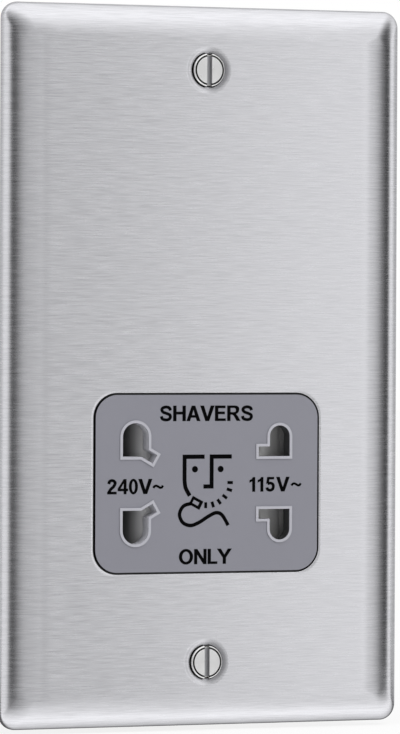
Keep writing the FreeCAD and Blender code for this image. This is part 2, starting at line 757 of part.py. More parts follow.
def socket_body():
    tray = slab("body_tray", "XZ", ("2 * (channel_half + tray_wall)", "2 * body_rise"), "body_corner",
                (SEAT, FLOOR_BACK), ("0", SOCKET))
    deep = slab("body_deep", "XZ", ("2 * body_half", "2 * body_rise"), "body_corner",
                (FLOOR, "body_rear"), ("0", SOCKET))
    channel = block("body_channel", ("0 - channel_half", "channel_half"), (f"{SEAT} - past", FLOOR),
                    (socket_rise("-1", "channel_rise"), socket_rise("1", "channel_rise")))
    tools = [channel]
    for name, x, z in corners_of_socket():
        centre = clip_centre(x)
        tools.append(block(
            f"chamber_{name}", (f"{centre} - chamber_width / 2", f"{centre} + chamber_width / 2"),
            (f"{FLOOR} - past", CHAMBER_BACK),
            ordered(socket_rise(z, "chamber_inner"), socket_rise(z, "chamber_outer"))))
        half = "(clip_tail_width / 2 + frame_gap / 2)"
        metal = "(clip_metal / 2 + frame_gap / 2)"
        rise = socket_rise(z, "pin_spread / 2")
        tools.append(block(f"tail_slot_{name}", (f"{centre} - {metal}", f"{centre} + {metal}"),
                           (f"{CHAMBER_BACK} - past", "body_rear + past"),
                           (f"{rise} - {half}", f"{rise} + {half}")))
    tools.append(block("body_well", ("0 - core_well_half", "core_well_half"),
                       (FLOOR_BACK, "body_rear + past"),
                       (socket_rise("-1", "channel_rise"), socket_rise("1", "channel_rise"))))
    room = "(strip_width / 2 + strip_gap)"
    leg_low, leg_high = "strip_start - strip_gap", "strip_start + strip_width + strip_gap"
    leg_rooms = {"right": (leg_low, leg_high), "left": (f"0 - ({leg_high})", f"0 - ({leg_low})")}
    for end, sign, sides in (("in", "1", ["left"]), ("out", "-1", ["left", "right"])):
        middle = socket_rise(sign, "strip_offset")
        rise = (f"{middle} - {room}", f"{middle} + {room}")
        tools.append(block(f"strip_groove_{end}", ("0 - strip_half - strip_gap", "strip_half + strip_gap"),
                           (f"{FLOOR} - past", f"{FLOOR} + strip_thick"), rise))
        for side in sides:
            tools.append(block(f"strip_leg_slot_{end}_{side}", leg_rooms[side],
                               (FLOOR, f"{FLOOR_BACK} + past"), rise))
    posts = [
        rod("body_post_left", "x", "post_radius", ("0 - channel_half", "post_length - channel_half"),
            (SPRING_Y, SOCKET)),
        rod("body_post_right", "x", "post_radius", ("channel_half - post_length", "channel_half"),
            (SPRING_Y, SOCKET)),
    ]
    hollow = cut("body_hollow", join("body_block", tray, deep), *tools)
    keep(join("body", hollow, *posts), "socket_body")


def shutter():
    """Carriage with two ramped bars: the ramps sink towards its two ends."""
    outer = "(channel_rise - slide_gap)"
    sunk = f"{SHUTTER_FRONT} + ramp_depth"
    profile = [
        ("0 - shutter_half", SHUTTER_BACK),
        ("0 - shutter_half", sunk),
        ("0 - ramp_end", sunk),
        ("0 - ramp_start", SHUTTER_FRONT),
        ("ramp_start", SHUTTER_FRONT),
        ("ramp_end", sunk),
        ("shutter_half", sunk),
        ("shutter_half", SHUTTER_BACK),
    ]
    bars = prism("shutter_bars", "XY", profile, (socket_rise("-1", outer), socket_rise("1", outer)))
    inner = (socket_rise("-1", "shutter_bar_inner"), socket_rise("1", "shutter_bar_inner"))
    depth = (f"{SHUTTER_FRONT} - past", f"{SHUTTER_BACK} + past")
    gaps = [
        block("shutter_gap_left", ("0 - shutter_half - past", "0 - shutter_web_half"), depth, inner),
        block("shutter_gap_right", ("shutter_web_half", "shutter_half + past"), depth, inner),
        block("bridge_pocket", ("0 - bridge_half - bridge_gap", "bridge_half + bridge_gap"),
              (f"{SHUTTER_BACK} - bridge_thick", f"{SHUTTER_BACK} + past"),
              (socket_rise("-1", "bridge_rise + bridge_gap"),
               socket_rise("1", "bridge_rise + bridge_gap"))),
    ]
    posts = [
        rod("shutter_post_left", "x", "post_radius",
            ("0 - shutter_web_half - post_length", "0 - shutter_web_half"), (SPRING_Y, SOCKET)),
        rod("shutter_post_right", "x", "post_radius",
            ("shutter_web_half", "shutter_web_half + post_length"), (SPRING_Y, SOCKET)),
    ]
    keep(join("carriage", cut("carriage_cut", bars, *gaps), *posts), "shutter")


def switch_bridge():
    strip = block("bridge_strip", ("0 - bridge_half", "bridge_half"),
                  (f"{SHUTTER_BACK} - bridge_thick", SHUTTER_BACK),
                  (socket_rise("-1", "bridge_rise"), socket_rise("1", "bridge_rise")))
    feet = [
        rod(f"bridge_foot_{end}", "y", "strip_width / 3", (SHUTTER_BACK, f"{SHUTTER_BACK} + bridge_dome"),
            ("0", socket_rise(sign, "strip_offset")))
        for end, sign in (("upper", "1"), ("lower", "-1"))
    ]
    keep(join("bridge", strip, *feet), "switch_bridge")


def coil(name, start, end):
    """A round wire wound along X between two seats, as one swept solid."""
    length = end - start
    turns = value("spring_turns")
    helix = Part.makeHelix(length / turns, length, value("spring_mean"))
    wire_radius = value("spring_wire")
    first = V(value("spring_mean"), 0, 0)
    heading = V(0, 1, length / turns / (2 * math.pi * value("spring_mean")))
    section = Part.Wire([Part.makeCircle(wire_radius, first, heading)])
    shape = Part.Wire(helix.Edges).makePipeShell([section], True, True)
    spring = add("Part::Feature", name)
    spring.Shape = shape
    spring.Placement = FreeCAD.Placement(V(start, value(SPRING_Y), value(SOCKET)), TURNS["x"])
    return spring


def springs():
    inset = value("spring_wire + spring_gap")
    inner = value("shutter_web_half") + inset
    outer = value("channel_half") - inset
    keep(coil("spring_left", -outer, -inner), "shutter_spring_left")
    keep(coil("spring_right", inner, outer), "shutter_spring_right")


def strip_bar(name, x, sign):
    middle = socket_rise(sign, "strip_offset")
    return block(name, x, (FLOOR, f"{FLOOR} + strip_thick"),
                 (f"{middle} - strip_width / 2", f"{middle} + strip_width / 2"))


def strip_leg(name, x, sign):
    middle = socket_rise(sign, "strip_offset")
    return block(name, x, (FLOOR, STRIP_TIP),
                 (f"{middle} - strip_width / 2", f"{middle} + strip_width / 2"))


def switch_strips():
    """One strip is always under the bridge, the other starts a travel away on both sides."""
    leg = ("strip_start", "strip_start + strip_width")
    left_leg = ("0 - strip_start - strip_width", "0 - strip_start")
    keep(join("strip_in", strip_bar("strip_in_bar", ("0 - strip_half", "strip_half"), "1"),
              strip_leg("strip_in_leg", left_leg, "1")), "switch_strip_in")
    rail = f"{FLOOR_BACK} + strip_link_gap"
    middle = socket_rise("-1", "strip_offset")
    link = block("strip_out_link", ("0 - strip_start", "strip_start"), (rail, f"{rail} + strip_thick"),
                 (f"{middle} - strip_width / 2", f"{middle} + strip_width / 2"))
    keep(join("strip_out", strip_bar("strip_out_right", ("strip_start", "strip_half"), "-1"),
              strip_bar("strip_out_left", ("0 - strip_half", "0 - strip_start"), "-1"),
              strip_leg("strip_out_leg", leg, "-1"), strip_leg("strip_out_left_leg", left_leg, "-1"),
              link), "switch_strip_out")


def clip_leaf(centre, sign):
    """One leaf's outline in plan, down its outside and back up its inside."""
    back = f"({CHAMBER_BACK} - clip_gap)"
    waist = "(clip_front + clip_flare)"
    wide = "(clip_mouth + clip_belly)"
    return [
        (f"{centre} {sign} ({wide} + clip_metal)", back),
        (f"{centre} {sign} (clip_grip + clip_metal)", waist),
        (f"{centre} {sign} (clip_mouth + clip_metal)", "clip_front"),
        (f"{centre} {sign} clip_mouth", "clip_front"),
        (f"{centre} {sign} clip_grip", waist),
        (f"{centre} {sign} {wide}", f"{back} - clip_metal"),
    ]


def clip(name, x, z):
    """A folded strip that grips a pin between two leaves with a flared mouth."""
    centre = clip_centre(x)
    outline = clip_leaf(centre, "-") + clip_leaf(centre, "+")[::-1]
    folded = prism(name, "XY", outline, ordered(socket_rise(z, "clip_inner"), socket_rise(z, "clip_outer")))
    rise = socket_rise(z, "pin_spread / 2")
    tail = block(name + "_tail", (f"{centre} - clip_metal / 2", f"{centre} + clip_metal / 2"),
                 (f"{CHAMBER_BACK} - clip_gap - clip_metal", "body_rear + clip_tail"),
                 (f"{rise} - clip_tail_width / 2", f"{rise} + clip_tail_width / 2"))
    return [folded, tail]


def contacts():
    keep(join("clip_high", *clip("clip_high_upper", "-1", "1")), "contact_high")
    keep(join("clip_low", *clip("clip_low_upper", "1", "1")), "contact_low")
    rise = socket_rise("-1", "pin_spread / 2")
    bus_front = "(body_rear + clip_tail - clip_metal)"
    bus = block("clip_bus", (clip_centre("-1"), clip_centre("1")),
                (bus_front, "body_rear + clip_tail"),
                (f"{rise} - clip_tail_width / 2", f"{rise} + clip_tail_width / 2 + bus_rise"))
    keep(join("clip_common", *clip("clip_high_lower", "-1", "-1"), *clip("clip_low_lower", "1", "-1"), bus),
         "contact_common")


# Transformer


def core():
    leg, stack = "core_leg", ("core_front", CORE_BACK)
    half = "core_width / 2"
    window_low = "(core_middle - core_window / 2)"
    yoke = block("core_yoke", (f"0 - {half}", half), stack, (f"{CORE_TOP} - {leg}", CORE_TOP))
    legs = [
        block("core_leg_left", (f"0 - {half}", f"{leg} - {half}"), stack, (window_low, CORE_TOP)),
        block("core_leg_middle", (f"0 - {leg}", leg), stack, (window_low, CORE_TOP)),
        block("core_leg_right", (f"{half} - {leg}", half), stack, (window_low, CORE_TOP)),
    ]
    keep(join("core_letter_e", yoke, *legs), "core_e")
    keep(block("core_letter_i", (f"0 - {half}", half), stack, (CORE_BOTTOM, window_low)), "core_i")


def ring(name, outside, inside, radius, span):
    """A square tube round the core's middle leg, along Z."""
    at = ("0", CORE_Y)
    outer = slab(name + "_outside", "XY", outside, radius, span, at)
    inner = slab(name + "_inside", "XY", inside, None, (f"{span[0]} - past", f"{span[1]} + past"), at)
    return cut(name, outer, inner)


def winding_parts():
    """Heights of the two windings between the bobbin's three flanges."""
    return {
        "primary": (f"{BOBBIN_LOW} + bobbin_wall", "core_middle - bobbin_wall / 2"),
        "secondary": ("core_middle + bobbin_wall / 2", f"{BOBBIN_HIGH} - bobbin_wall"),
    }


def transformer():
    flange = (f"2 * {REACH_X}", f"2 * {REACH_Y}")
    wall = "bobbin_wall"
    pieces = [ring("bobbin_tube", TUBE, BORE, None, (BOBBIN_LOW, BOBBIN_HIGH))]
    flange_spans = {
        "low": (BOBBIN_LOW, f"{BOBBIN_LOW} + {wall}"),
        "middle": (f"core_middle - {wall} / 2", f"core_middle + {wall} / 2"),
        "high": (f"{BOBBIN_HIGH} - {wall}", BOBBIN_HIGH),
    }
    for name, span in flange_spans.items():
        pieces.append(ring(f"bobbin_flange_{name}", flange, BORE, "bobbin_round", span))
    keep(join("bobbin_moulding", *pieces), "bobbin")
    outside = (f"2 * ({REACH_X} - winding_inset)", f"2 * ({REACH_Y} - winding_inset)")
    taped = (f"2 * ({REACH_X} - winding_inset + tape_thick)", f"2 * ({REACH_Y} - winding_inset + tape_thick)")
    tapes = []
    for name, span in winding_parts().items():
        keep(ring(f"wound_{name}", outside, TUBE, "winding_round", span), f"{name}_winding")
        cover = slab(f"tape_{name}_outside", "XY", taped, "winding_round + tape_thick", span, ("0", CORE_Y))
        room = slab(f"tape_{name}_inside", "XY", outside, "winding_round", span, ("0", CORE_Y))
        tapes.append(cut(f"tape_{name}", cover, room))
    keep(group("tapes", *tapes), "winding_tape")


def core_straps():
    """Straps over the back of the core, with tabs that pass through the chassis."""
    straps = []
    side = "(core_width / 2)"
    for end, height in strap_heights().items():
        deep = (f"{height} - strap_width / 2", f"{height} + strap_width / 2")
        tab = (f"{height} - strap_tab / 2", f"{height} + strap_tab / 2")
        pieces = [block(f"strap_{end}_back", (f"0 - {side} - strap_thick", f"{side} + strap_thick"),
                        (CORE_BACK, f"{CORE_BACK} + strap_thick"), deep)]
        for sign, letter in (("-1", "left"), ("1", "right")):
            x = ordered(f"{sign} * {side}", f"{sign} * ({side} + strap_thick)")
            pieces.append(block(f"strap_{end}_{letter}", x, (SEAT, CORE_BACK), deep))
            pieces.append(block(f"strap_{end}_{letter}_tab", x, (f"{SHEET_BACK} + tab_recess", SEAT), tab))
        straps.append(join(f"strap_{end}", *pieces))
    keep(group("straps", *straps), "core_straps")


def thermal_cutout():
    low, high = winding_parts()["primary"]
    tape_front = f"({CORE_Y} - {REACH_Y} + winding_inset - tape_thick)"
    keep(rod("cutout", "x", "cutout_radius", ("0 - cutout_length / 2", "cutout_length / 2"),
             (f"{tape_front} - cutout_radius - cutout_gap", f"(({low}) + ({high})) / 2")), "thermal_cutout")


# Rear case and terminals


def case_shape(name, inset):
    """The case's box and its shallow shoulder, or with the wall as inset the room inside them."""
    corner = "case_corner" if inset == "0" else None
    main = slab(name + "_main", "XZ",
                (f"2 * (case_half - {inset})", f"case_top + case_bottom - 2 * {inset}"), corner,
                (SEAT, f"case_rear - {inset}"), ("0", "(case_top - case_bottom) / 2"))
    grown = f"2 * (shoulder_gap + case_wall - {inset})"
    shoulder = slab(name + "_shoulder", "XZ",
                    (f"2 * (channel_half + tray_wall) + {grown}", f"2 * body_rise + {grown}"), corner,
                    (SEAT, f"shoulder_rear - {inset}"), ("0", SOCKET))
    return join(name, main, shoulder)


def rear_case():
    body = case_shape("case_outside", "0")
    room = case_shape("case_inside", "case_wall")
    shelf = ("0 - well_half - case_wall", "well_half + case_wall")
    well_wall = block("well_walls", shelf, ("well_front - case_wall", "case_rear"),
                      ("0 - case_bottom", f"{WELL_TOP} + case_wall"))
    shell = cut("case_shell", body, cut("case_room", room, well_wall))
    ears = []
    holes = [block("well", ("0 - well_half", "well_half"), ("well_front", "case_rear + past"),
                   ("0 - case_bottom - past", WELL_TOP))]
    ear_span = ("ear_front", "ear_front + ear_thick")
    for name, x, z in ear_places():
        ears.append(rod(f"ear_{name}", "y", "ear_radius", ear_span, (x, z)))
        inner = f"{'-1' if 'left' in name else '1'} * (case_half - case_wall / 2)"
        ears.append(block(f"ear_root_{name}", ordered(inner, x), ear_span,
                          (f"{z} - ear_radius", f"{z} + ear_radius")))
        holes.append(rod(f"ear_hole_{name}", "y", "case_screw_shank + ear_hole_gap",
                         ("ear_front - past", "ear_front + ear_thick + past"), (x, z)))
    for number in range(-3, 4):
        x = f"{number} * vent_pitch"
        holes.append(slab(f"vent_{number + 3}", "XZ", ("vent_width", "vent_length"), "vent_corner",
                          ("case_rear - case_wall - past", "case_rear + past"), (x, "core_middle")))
    for number, x in enumerate(TERMINAL_PLACES.values()):
        tail = ("(terminal_tail_width / 2 + tail_gap)", "(terminal_tail_thick / 2 + tail_gap)")
        holes.append(block(f"tail_hole_{number}", (f"{x} - {tail[0]}", f"{x} + {tail[0]}"),
                           ("well_front - case_wall - past", "well_front + past"),
                           (f"{TERMINAL_Z} - {tail[1]}", f"{TERMINAL_Z} + {tail[1]}")))
    ribs = [
        block(f"well_rib_{side}", (f"{sign} * terminal_pitch / 2 - rib_thick / 2",
                                   f"{sign} * terminal_pitch / 2 + rib_thick / 2"),
              ("well_front", "well_front + terminal_depth + rib_rise"), (TERMINAL_LOW, WELL_TOP))
        for side, sign in (("left", "-1"), ("right", "1"))
    ]
    keep(join("case", cut("case_holed", join("case_eared", shell, *ears), *holes), *ribs), "rear_case")


def terminals():
    bore_y = "(well_front + terminal_bore_depth)"
    for name, x in TERMINAL_PLACES.items():
        brass = block(f"brass_{name}", (f"{x} - terminal_width / 2", f"{x} + terminal_width / 2"),
                      ("well_front", "well_front + terminal_depth"), (TERMINAL_LOW, TERMINAL_HIGH))
        tail = block(f"tail_{name}", (f"{x} - terminal_tail_width / 2", f"{x} + terminal_tail_width / 2"),
                     (TAIL_TIP, "well_front + terminal_root"),
                     (f"{TERMINAL_Z} - terminal_tail_thick / 2", f"{TERMINAL_Z} + terminal_tail_thick / 2"))
        bore = rod(f"bore_{name}", "z", "terminal_bore", (f"{TERMINAL_LOW} - past", f"{TERMINAL_HIGH} + past"),
                   (x, bore_y))
        screw_hole = rod(f"screw_hole_{name}", "y", "terminal_screw + pilot_gap",
                         (bore_y, "well_front + terminal_depth + past"), (x, TERMINAL_Z))
        keep(cut(f"pillar_{name}", join(f"pillar_{name}_blank", brass, tail), bore, screw_hole),
             f"terminal_{name}")


def headed_screw(name, radii, levels, slot, at):
    """Pan head at the back, shank towards -Y, slot along Z. Levels: tip, seat, top."""
    head_radius, shank_radius = radii
    tip, seat, top = levels
    turned = join(f"{name}_turned", rod(f"{name}_shank", "y", shank_radius, (tip, seat), at),
                  rod(f"{name}_head", "y", head_radius, (seat, top), at))
    slot_cut = slotted_head_cut(f"{name}_slot", slot, "past", f"({top}) - pan_slot_depth",
                                head_radius, at)
    return cut(name, turned, slot_cut)


def terminal_screws():
    seat = "(well_front + terminal_depth + clamp_lift)"
    tip = "(well_front + terminal_bore_depth + terminal_bore + clamp_gap)"
    screws = [
        headed_screw(f"clamp_{name}", ("terminal_head", "terminal_screw"),
                     (tip, seat, f"{seat} + terminal_head_rise"), "clamp_slot", (x, TERMINAL_Z))
        for name, x in TERMINAL_PLACES.items()
    ]
    keep(group("clamps", *screws), "terminal_screws")


def case_screws():
    seat = "(ear_front + ear_thick)"
    screws = [
        headed_screw(f"case_screw_{name}", ("case_screw_head", "case_screw_shank"),
                     (f"{seat} - case_screw_reach", seat, f"{seat} + case_screw_rise"),
                     "case_screw_slot", (x, z))
        for name, x, z in ear_places()
    ]
    keep(group("case_screw_set", *screws), "case_screws")


def earth_strap():
    """From the earth terminal's tail to the back of the steel plate."""
    half = "strap_earth_width / 2"
    low, thick = EARTH_LOW, "strap_earth_thick"
    rear = TAIL_TIP
    run = block("earth_run", (f"0 - {half}", half), (SHEET_BACK, rear), (low, f"{low} + {thick}"))
    riser = block("earth_riser", (f"0 - {half}", half), (f"{rear} - {thick}", rear),
                  (low, f"{TERMINAL_Z} + terminal_tail_thick"))
    keep(join("earth", run, riser), "earth_strap")


# Inner wires


def rounded_path(points):
    """Straight runs joined by tangent arcs, each as large as its two runs allow."""
    edges = []
    start = points[0]
    radii = []
    for before, corner, after in zip(points, points[1:], points[2:]):
        back, ahead = before - corner, after - corner
        turn = math.pi - back.getAngle(ahead)
        trim = 0.45 * min(back.Length, ahead.Length)
        radii.append(trim / math.tan(turn / 2))
        back.normalize()
        ahead.normalize()
        entry, leave = corner + back * trim, corner + ahead * trim
        bisector = back + ahead
        bisector.normalize()
        depth = math.hypot(trim, radii[-1]) - radii[-1]
        edges.append(Part.LineSegment(start, entry).toShape())
        edges.append(Part.Arc(entry, corner + bisector * depth, leave).toShape())
        start = leave
    edges.append(Part.LineSegment(start, points[-1]).toShape())
    return Part.Wire(edges), radii


def lead(label, places):
    """An insulated wire along a route, with its first and last points on the pieces it joins."""
    points = [V(*(value(place) for place in point)) for point in places]
    path, radii = rounded_path(points)
    section = Part.Wire([Part.makeCircle(value("lead_radius"), points[0], points[1] - points[0])])
    wire = add("Part::Feature", label + "_wire")
    wire.Shape = path.makePipeShell([section], True, False)
    print(label, "radii", [round(radius, 1) for radius in radii], "length", round(path.Length, 1))
    keep(wire, label)


def between(first, second, share):
    """The level that is this share of the way from the first to the second."""
    return f"(({first}) + {share} * (({second}) - ({first})))"


def along_bobbin(share):
    """A lead's place under the bobbin's rear flange, as a share of its half width."""
    return f"{share} * {REACH_X}"


def leads():
    tail_top = f"{TERMINAL_Z} + terminal_tail_thick / 2"
    tail_y = "(well_front - case_wall - lead_radius - lead_gap)"
    clip_tip = "body_rear + clip_tail"
    turn_y = "(body_rear + lead_turn)"
    deep = "lead_depth"
    half_deep = between(turn_y, deep, 0.5)
    upper_clip, lower_clip = socket_rise("1", "pin_spread / 2"), socket_rise("-1", "pin_spread / 2")
    upper_strip, lower_strip = socket_rise("1", "strip_offset"), socket_rise("-1", "strip_offset")
    strip_x = "(strip_start + strip_width / 2)"
    # The leads pass over the socket body, then climb to the bobbin
    over_body = f"({SOCKET} + body_rise + lead_radius)"
    under_core = f"({CORE_BOTTOM} - lead_climb)"
    live, neutral = TERMINAL_PLACES["live"], TERMINAL_PLACES["neutral"]
    over_well = f"({WELL_TOP} + lead_rise)"

    lead("lead_live", [
        (live, tail_y, tail_top),
        (live, tail_y, over_well),
        (between(live, f"0 - {strip_x}", 0.4), "well_front", between(over_well, upper_strip, 0.65)),
        (f"0 - {strip_x}", turn_y, upper_strip),
        (f"0 - {strip_x}", STRIP_TIP, upper_strip),
    ])
    switched = along_bobbin(0.03)
    lead("lead_switched", [
        (strip_x, STRIP_TIP, lower_strip),
        (strip_x, turn_y, lower_strip),
        (between(strip_x, switched, 0.6), between(turn_y, deep, 0.8), between(lower_strip, over_body, 0.35)),
        (between(strip_x, switched, 0.8), deep, over_body),
        (switched, deep, under_core),
        (switched, deep, BOBBIN_LOW),
    ])
    coil_neutral = along_bobbin(0.51)
    lead("lead_neutral", [
        (neutral, tail_y, tail_top),
        (neutral, tail_y, over_well),
        (neutral, half_deep, between(over_well, over_body, 0.42)),
        (between(neutral, coil_neutral, 0.8), deep, over_body),
        (coil_neutral, deep, under_core),
        (coil_neutral, deep, BOBBIN_LOW),
    ])
    for name, side, share in (("high", "-1", -0.8), ("low", "1", 0.86)):
        place = along_bobbin(share)
        lead(f"lead_{name}", [
            (clip_centre(side), clip_tip, upper_clip),
            (clip_centre(side), half_deep, upper_clip),
            (between(clip_centre(side), place, 0.5), deep, over_body),
            (place, deep, under_core),
            (place, deep, BOBBIN_LOW),
        ])
    common = along_bobbin(-0.32)
    joint = f"0 - {strip_x} / 2"
    bus_middle = f"({lower_clip} + clip_tail_width / 2 + bus_rise / 2)"
    lead("lead_common", [
        (joint, clip_tip, bus_middle),
        (joint, half_deep, bus_middle),
        (joint, deep, between(bus_middle, over_body, 0.45)),
        (between(joint, common, 0.8), deep, over_body),
        (common, deep, under_core),
        (common, deep, BOBBIN_LOW),
    ])


front_plate()
fixing_screws()
socket_face()
base_frame()
socket_body()
shutter()
switch_bridge()
springs()
switch_strips()
contacts()
core()
transformer()
core_straps()
thermal_cutout()
rear_case()
terminals()
terminal_screws()
case_screws()
earth_strap()
leads()

doc.recompute()

# Nothing is written unless every object and every finished shape is sound
for obj in doc.Objects:
    if "Invalid" in obj.State or "Error" in obj.State:
        raise RuntimeError(f"{obj.Name} failed: {obj.State}")
for obj in nodes:
    if obj.Shape.isNull() or not obj.Shape.isValid() or not obj.Shape.Solids:
        raise RuntimeError(f"{obj.Label} has no sound shape")

os.makedirs("parts", exist_ok=True)
for obj in nodes:
    obj.Shape.exportStep(f"parts/{obj.Label}.step")
    print(obj.Label, len(obj.Shape.Solids), round(obj.Shape.Volume, 2))
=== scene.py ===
# %% [markdown]
# # A shaver supply unit on a steel wall plate
# The object is a bathroom shaver socket: a pressed stainless plate, a grey insert with four shaped
# apertures, and behind it a small transformer in a moulded case. The solids come from the CAD model
# and already have the right sizes. This notebook gives them their finishes, and works out a smoother
# skin for the pieces whose curves catch the light.

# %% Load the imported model
import math

import bmesh
import bpy
import numpy as np
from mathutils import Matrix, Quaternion, Vector


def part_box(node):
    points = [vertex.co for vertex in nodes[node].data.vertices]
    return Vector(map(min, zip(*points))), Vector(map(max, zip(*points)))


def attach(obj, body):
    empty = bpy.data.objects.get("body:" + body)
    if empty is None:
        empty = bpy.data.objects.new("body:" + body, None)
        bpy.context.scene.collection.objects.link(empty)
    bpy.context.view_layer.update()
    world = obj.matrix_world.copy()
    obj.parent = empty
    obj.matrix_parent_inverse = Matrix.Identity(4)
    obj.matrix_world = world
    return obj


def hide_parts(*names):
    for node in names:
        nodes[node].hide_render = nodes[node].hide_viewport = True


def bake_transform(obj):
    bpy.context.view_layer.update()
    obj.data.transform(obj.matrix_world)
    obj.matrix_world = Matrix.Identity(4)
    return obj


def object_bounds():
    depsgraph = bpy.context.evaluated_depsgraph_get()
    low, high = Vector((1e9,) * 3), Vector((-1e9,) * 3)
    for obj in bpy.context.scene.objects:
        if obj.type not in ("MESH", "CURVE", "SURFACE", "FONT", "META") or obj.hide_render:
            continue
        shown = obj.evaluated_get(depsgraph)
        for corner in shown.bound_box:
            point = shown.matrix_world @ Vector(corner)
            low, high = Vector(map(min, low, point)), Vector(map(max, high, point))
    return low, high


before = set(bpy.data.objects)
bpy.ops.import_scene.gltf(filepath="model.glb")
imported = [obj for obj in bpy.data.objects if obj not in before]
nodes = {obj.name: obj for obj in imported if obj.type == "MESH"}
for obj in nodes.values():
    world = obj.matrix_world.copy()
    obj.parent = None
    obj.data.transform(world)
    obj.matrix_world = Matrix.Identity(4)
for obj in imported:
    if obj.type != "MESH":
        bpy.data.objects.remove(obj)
cad_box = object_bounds()
MM = 0.001
# How far above the plate's middle the fixing screws and the socket's centre are, in millimetres
SCREW_Z, SOCKET_Z = 60.3, -23.8
print("solids:", len(nodes), "size in mm:", [round((b - a) / MM, 2) for a, b in zip(*cad_box)])

# %% [markdown]
# ## Camera
# The photograph was taken from about a metre, a little to the left of the plate. A long lens at that
# distance keeps the plate's sides nearly parallel, so the camera's place is found first and the lens
# is chosen after it. A small shift moves the frame without turning the camera.

# %% Camera


def photo_camera(place, target, lens, shift, roll):
    """A camera that looks from a place to a target, both in metres, and is then turned about its own
    axis by a roll in degrees."""
    optics = bpy.data.cameras.new("photo_camera")
    optics.lens = lens
    optics.shift_x, optics.shift_y = shift
    optics.clip_start = 0.01
    camera = bpy.data.objects.new("photo_camera", optics)
    bpy.context.scene.collection.objects.link(camera)
    camera.location = place
    gaze = Vector(target) - Vector(place)
    tip = Quaternion((0, 0, 1), math.radians(roll))
    camera.rotation_euler = (gaze.to_track_quat("-Z", "Y") @ tip).to_euler()
    bpy.context.scene.camera = camera
    return camera


camera = photo_camera(place=(-0.3633, -0.9316, 0.0111), target=(0, 0, 0), lens=239.8, shift=(0.0, -0.0013),
                      roll=0.25)
bpy.context.scene.view_settings.view_transform = "Standard"
print("camera distance in m:", round(camera.location.length, 3))

# %% [markdown]
# ## Colours and nodes
# Colours are written as the hex values that a screen shows. Shading works on linear light, so one
# function turns each value from one to the other. Other functions add the few kinds of node that the
# finishes need: arithmetic, ranges, noise, mixed colours and bumps. A finish is then a short list.

# %% Colours and nodes


def light_of(hex_colour):
    """Linear red, green, blue and alpha of an sRGB hex value: the sRGB curve, undone."""
    channels = np.array([int(hex_colour[i:i + 2], 16) for i in (1, 3, 5)]) / 255
    low = channels / 12.92
    high = ((channels + 0.055) / 1.055) ** 2.4
    return (*np.where(channels <= 0.04045, low, high).tolist(), 1.0)


def node(tree, kind, inputs=None, **options):
    """Adds a node. A socket among the inputs is joined, any other value is set."""
    made = tree.nodes.new("ShaderNode" + kind)
    for option, value in options.items():
        setattr(made, option, value)
    for name, value in (inputs or {}).items():
        if isinstance(value, bpy.types.NodeSocket):
            tree.links.new(value, made.inputs[name])
        else:
            made.inputs[name].default_value = value
    return made


def calc(tree, operation, *values):
    """The result of one step of arithmetic on these numbers or sockets."""
    return node(tree, "Math", dict(enumerate(values)), operation=operation).outputs["Value"]


def ramp(tree, value, start, end, low=0.0, high=1.0, **options):
    """Numbers from low to high as a value goes from start to end, and steady beyond both."""
    limits = {"Value": value, "From Min": start, "From Max": end, "To Min": low, "To Max": high}
    return node(tree, "MapRange", limits, **options).outputs["Result"]


def place_on(tree):
    """X, Y and Z on the object, in metres, as sockets by name."""
    return node(tree, "SeparateXYZ", {"Vector": node(tree, "TexCoord").outputs["Object"]}).outputs


def distance(tree, across, up):
    """How far a place is from an axis, from its two offsets."""
    offset = node(tree, "CombineXYZ", {"X": across, "Y": up}).outputs["Vector"]
    return node(tree, "VectorMath", {0: offset}, operation="LENGTH").outputs["Value"]


def phase(tree, value, pitch_mm):
    """An angle that turns once for each pitch, in millimetres, of a distance."""
    return calc(tree, "MULTIPLY", value, 2 * math.pi / (pitch_mm * MM))


def grain(tree, cell_mm, detail=2.0):
    """Noise whose cells have these sizes along X, Y and Z, in millimetres."""
    place = node(tree, "TexCoord").outputs["Object"]
    scale = [1 / (size * MM) for size in cell_mm]
    spread = node(tree, "Mapping", {"Vector": place, "Scale": scale}).outputs["Vector"]
    return node(tree, "TexNoise", {"Vector": spread, "Scale": 1.0, "Detail": detail}).outputs["Fac"]


def tint(tree, fac, colour_a, colour_b):
    """Mixes two colours by a pattern. A colour is a hex value or a socket."""
    a, b = (light_of(colour) if isinstance(colour, str) else colour for colour in (colour_a, colour_b))
    return node(tree, "Mix", {"Factor": fac, "A": a, "B": b}, data_type="RGBA").outputs["Result"]


def levels_by(tree, value, levels, span, unit):
    """Linear brightness against an angle or a place: straight lines through the listed pairs, which are
    in this unit. The span has 0 in its middle."""
    end = span / 2 * unit
    made = node(tree, "ValToRGB", {"Fac": ramp(tree, value, -end, end)})
    stops = made.color_ramp.elements
    for number, (angle, level) in enumerate(levels):
        place = angle / span + 0.5
        stop = stops[0] if number == 0 else stops[-1] if number == len(levels) - 1 else stops.new(place)
        stop.position = place
        stop.color = (level, level, level, 1)
    return made.outputs["Color"]


def emboss(tree, shader, fac, depth_mm):
    """Raises the surface by a pattern, this deep in millimetres."""
    bump = node(tree, "Bump", {"Height": fac, "Distance": depth_mm * MM, "Strength": 1.0})
    tree.links.new(bump.outputs["Normal"], shader.inputs["Normal"])


def new_finish(name, colour, metallic, roughness, ior=None):
    """An empty finish with its shader's own values set. Returns the material, its tree and shader."""
    material = bpy.data.materials.new(name)
    material.use_nodes = True
    tree = material.node_tree
    shader = tree.nodes["Principled BSDF"]
    shader.inputs["Base Color"].default_value = light_of(colour)
    shader.inputs["Metallic"].default_value = metallic
    shader.inputs["Roughness"].default_value = roughness
    if ior:
        shader.inputs["IOR"].default_value = ior
    return material, tree, shader


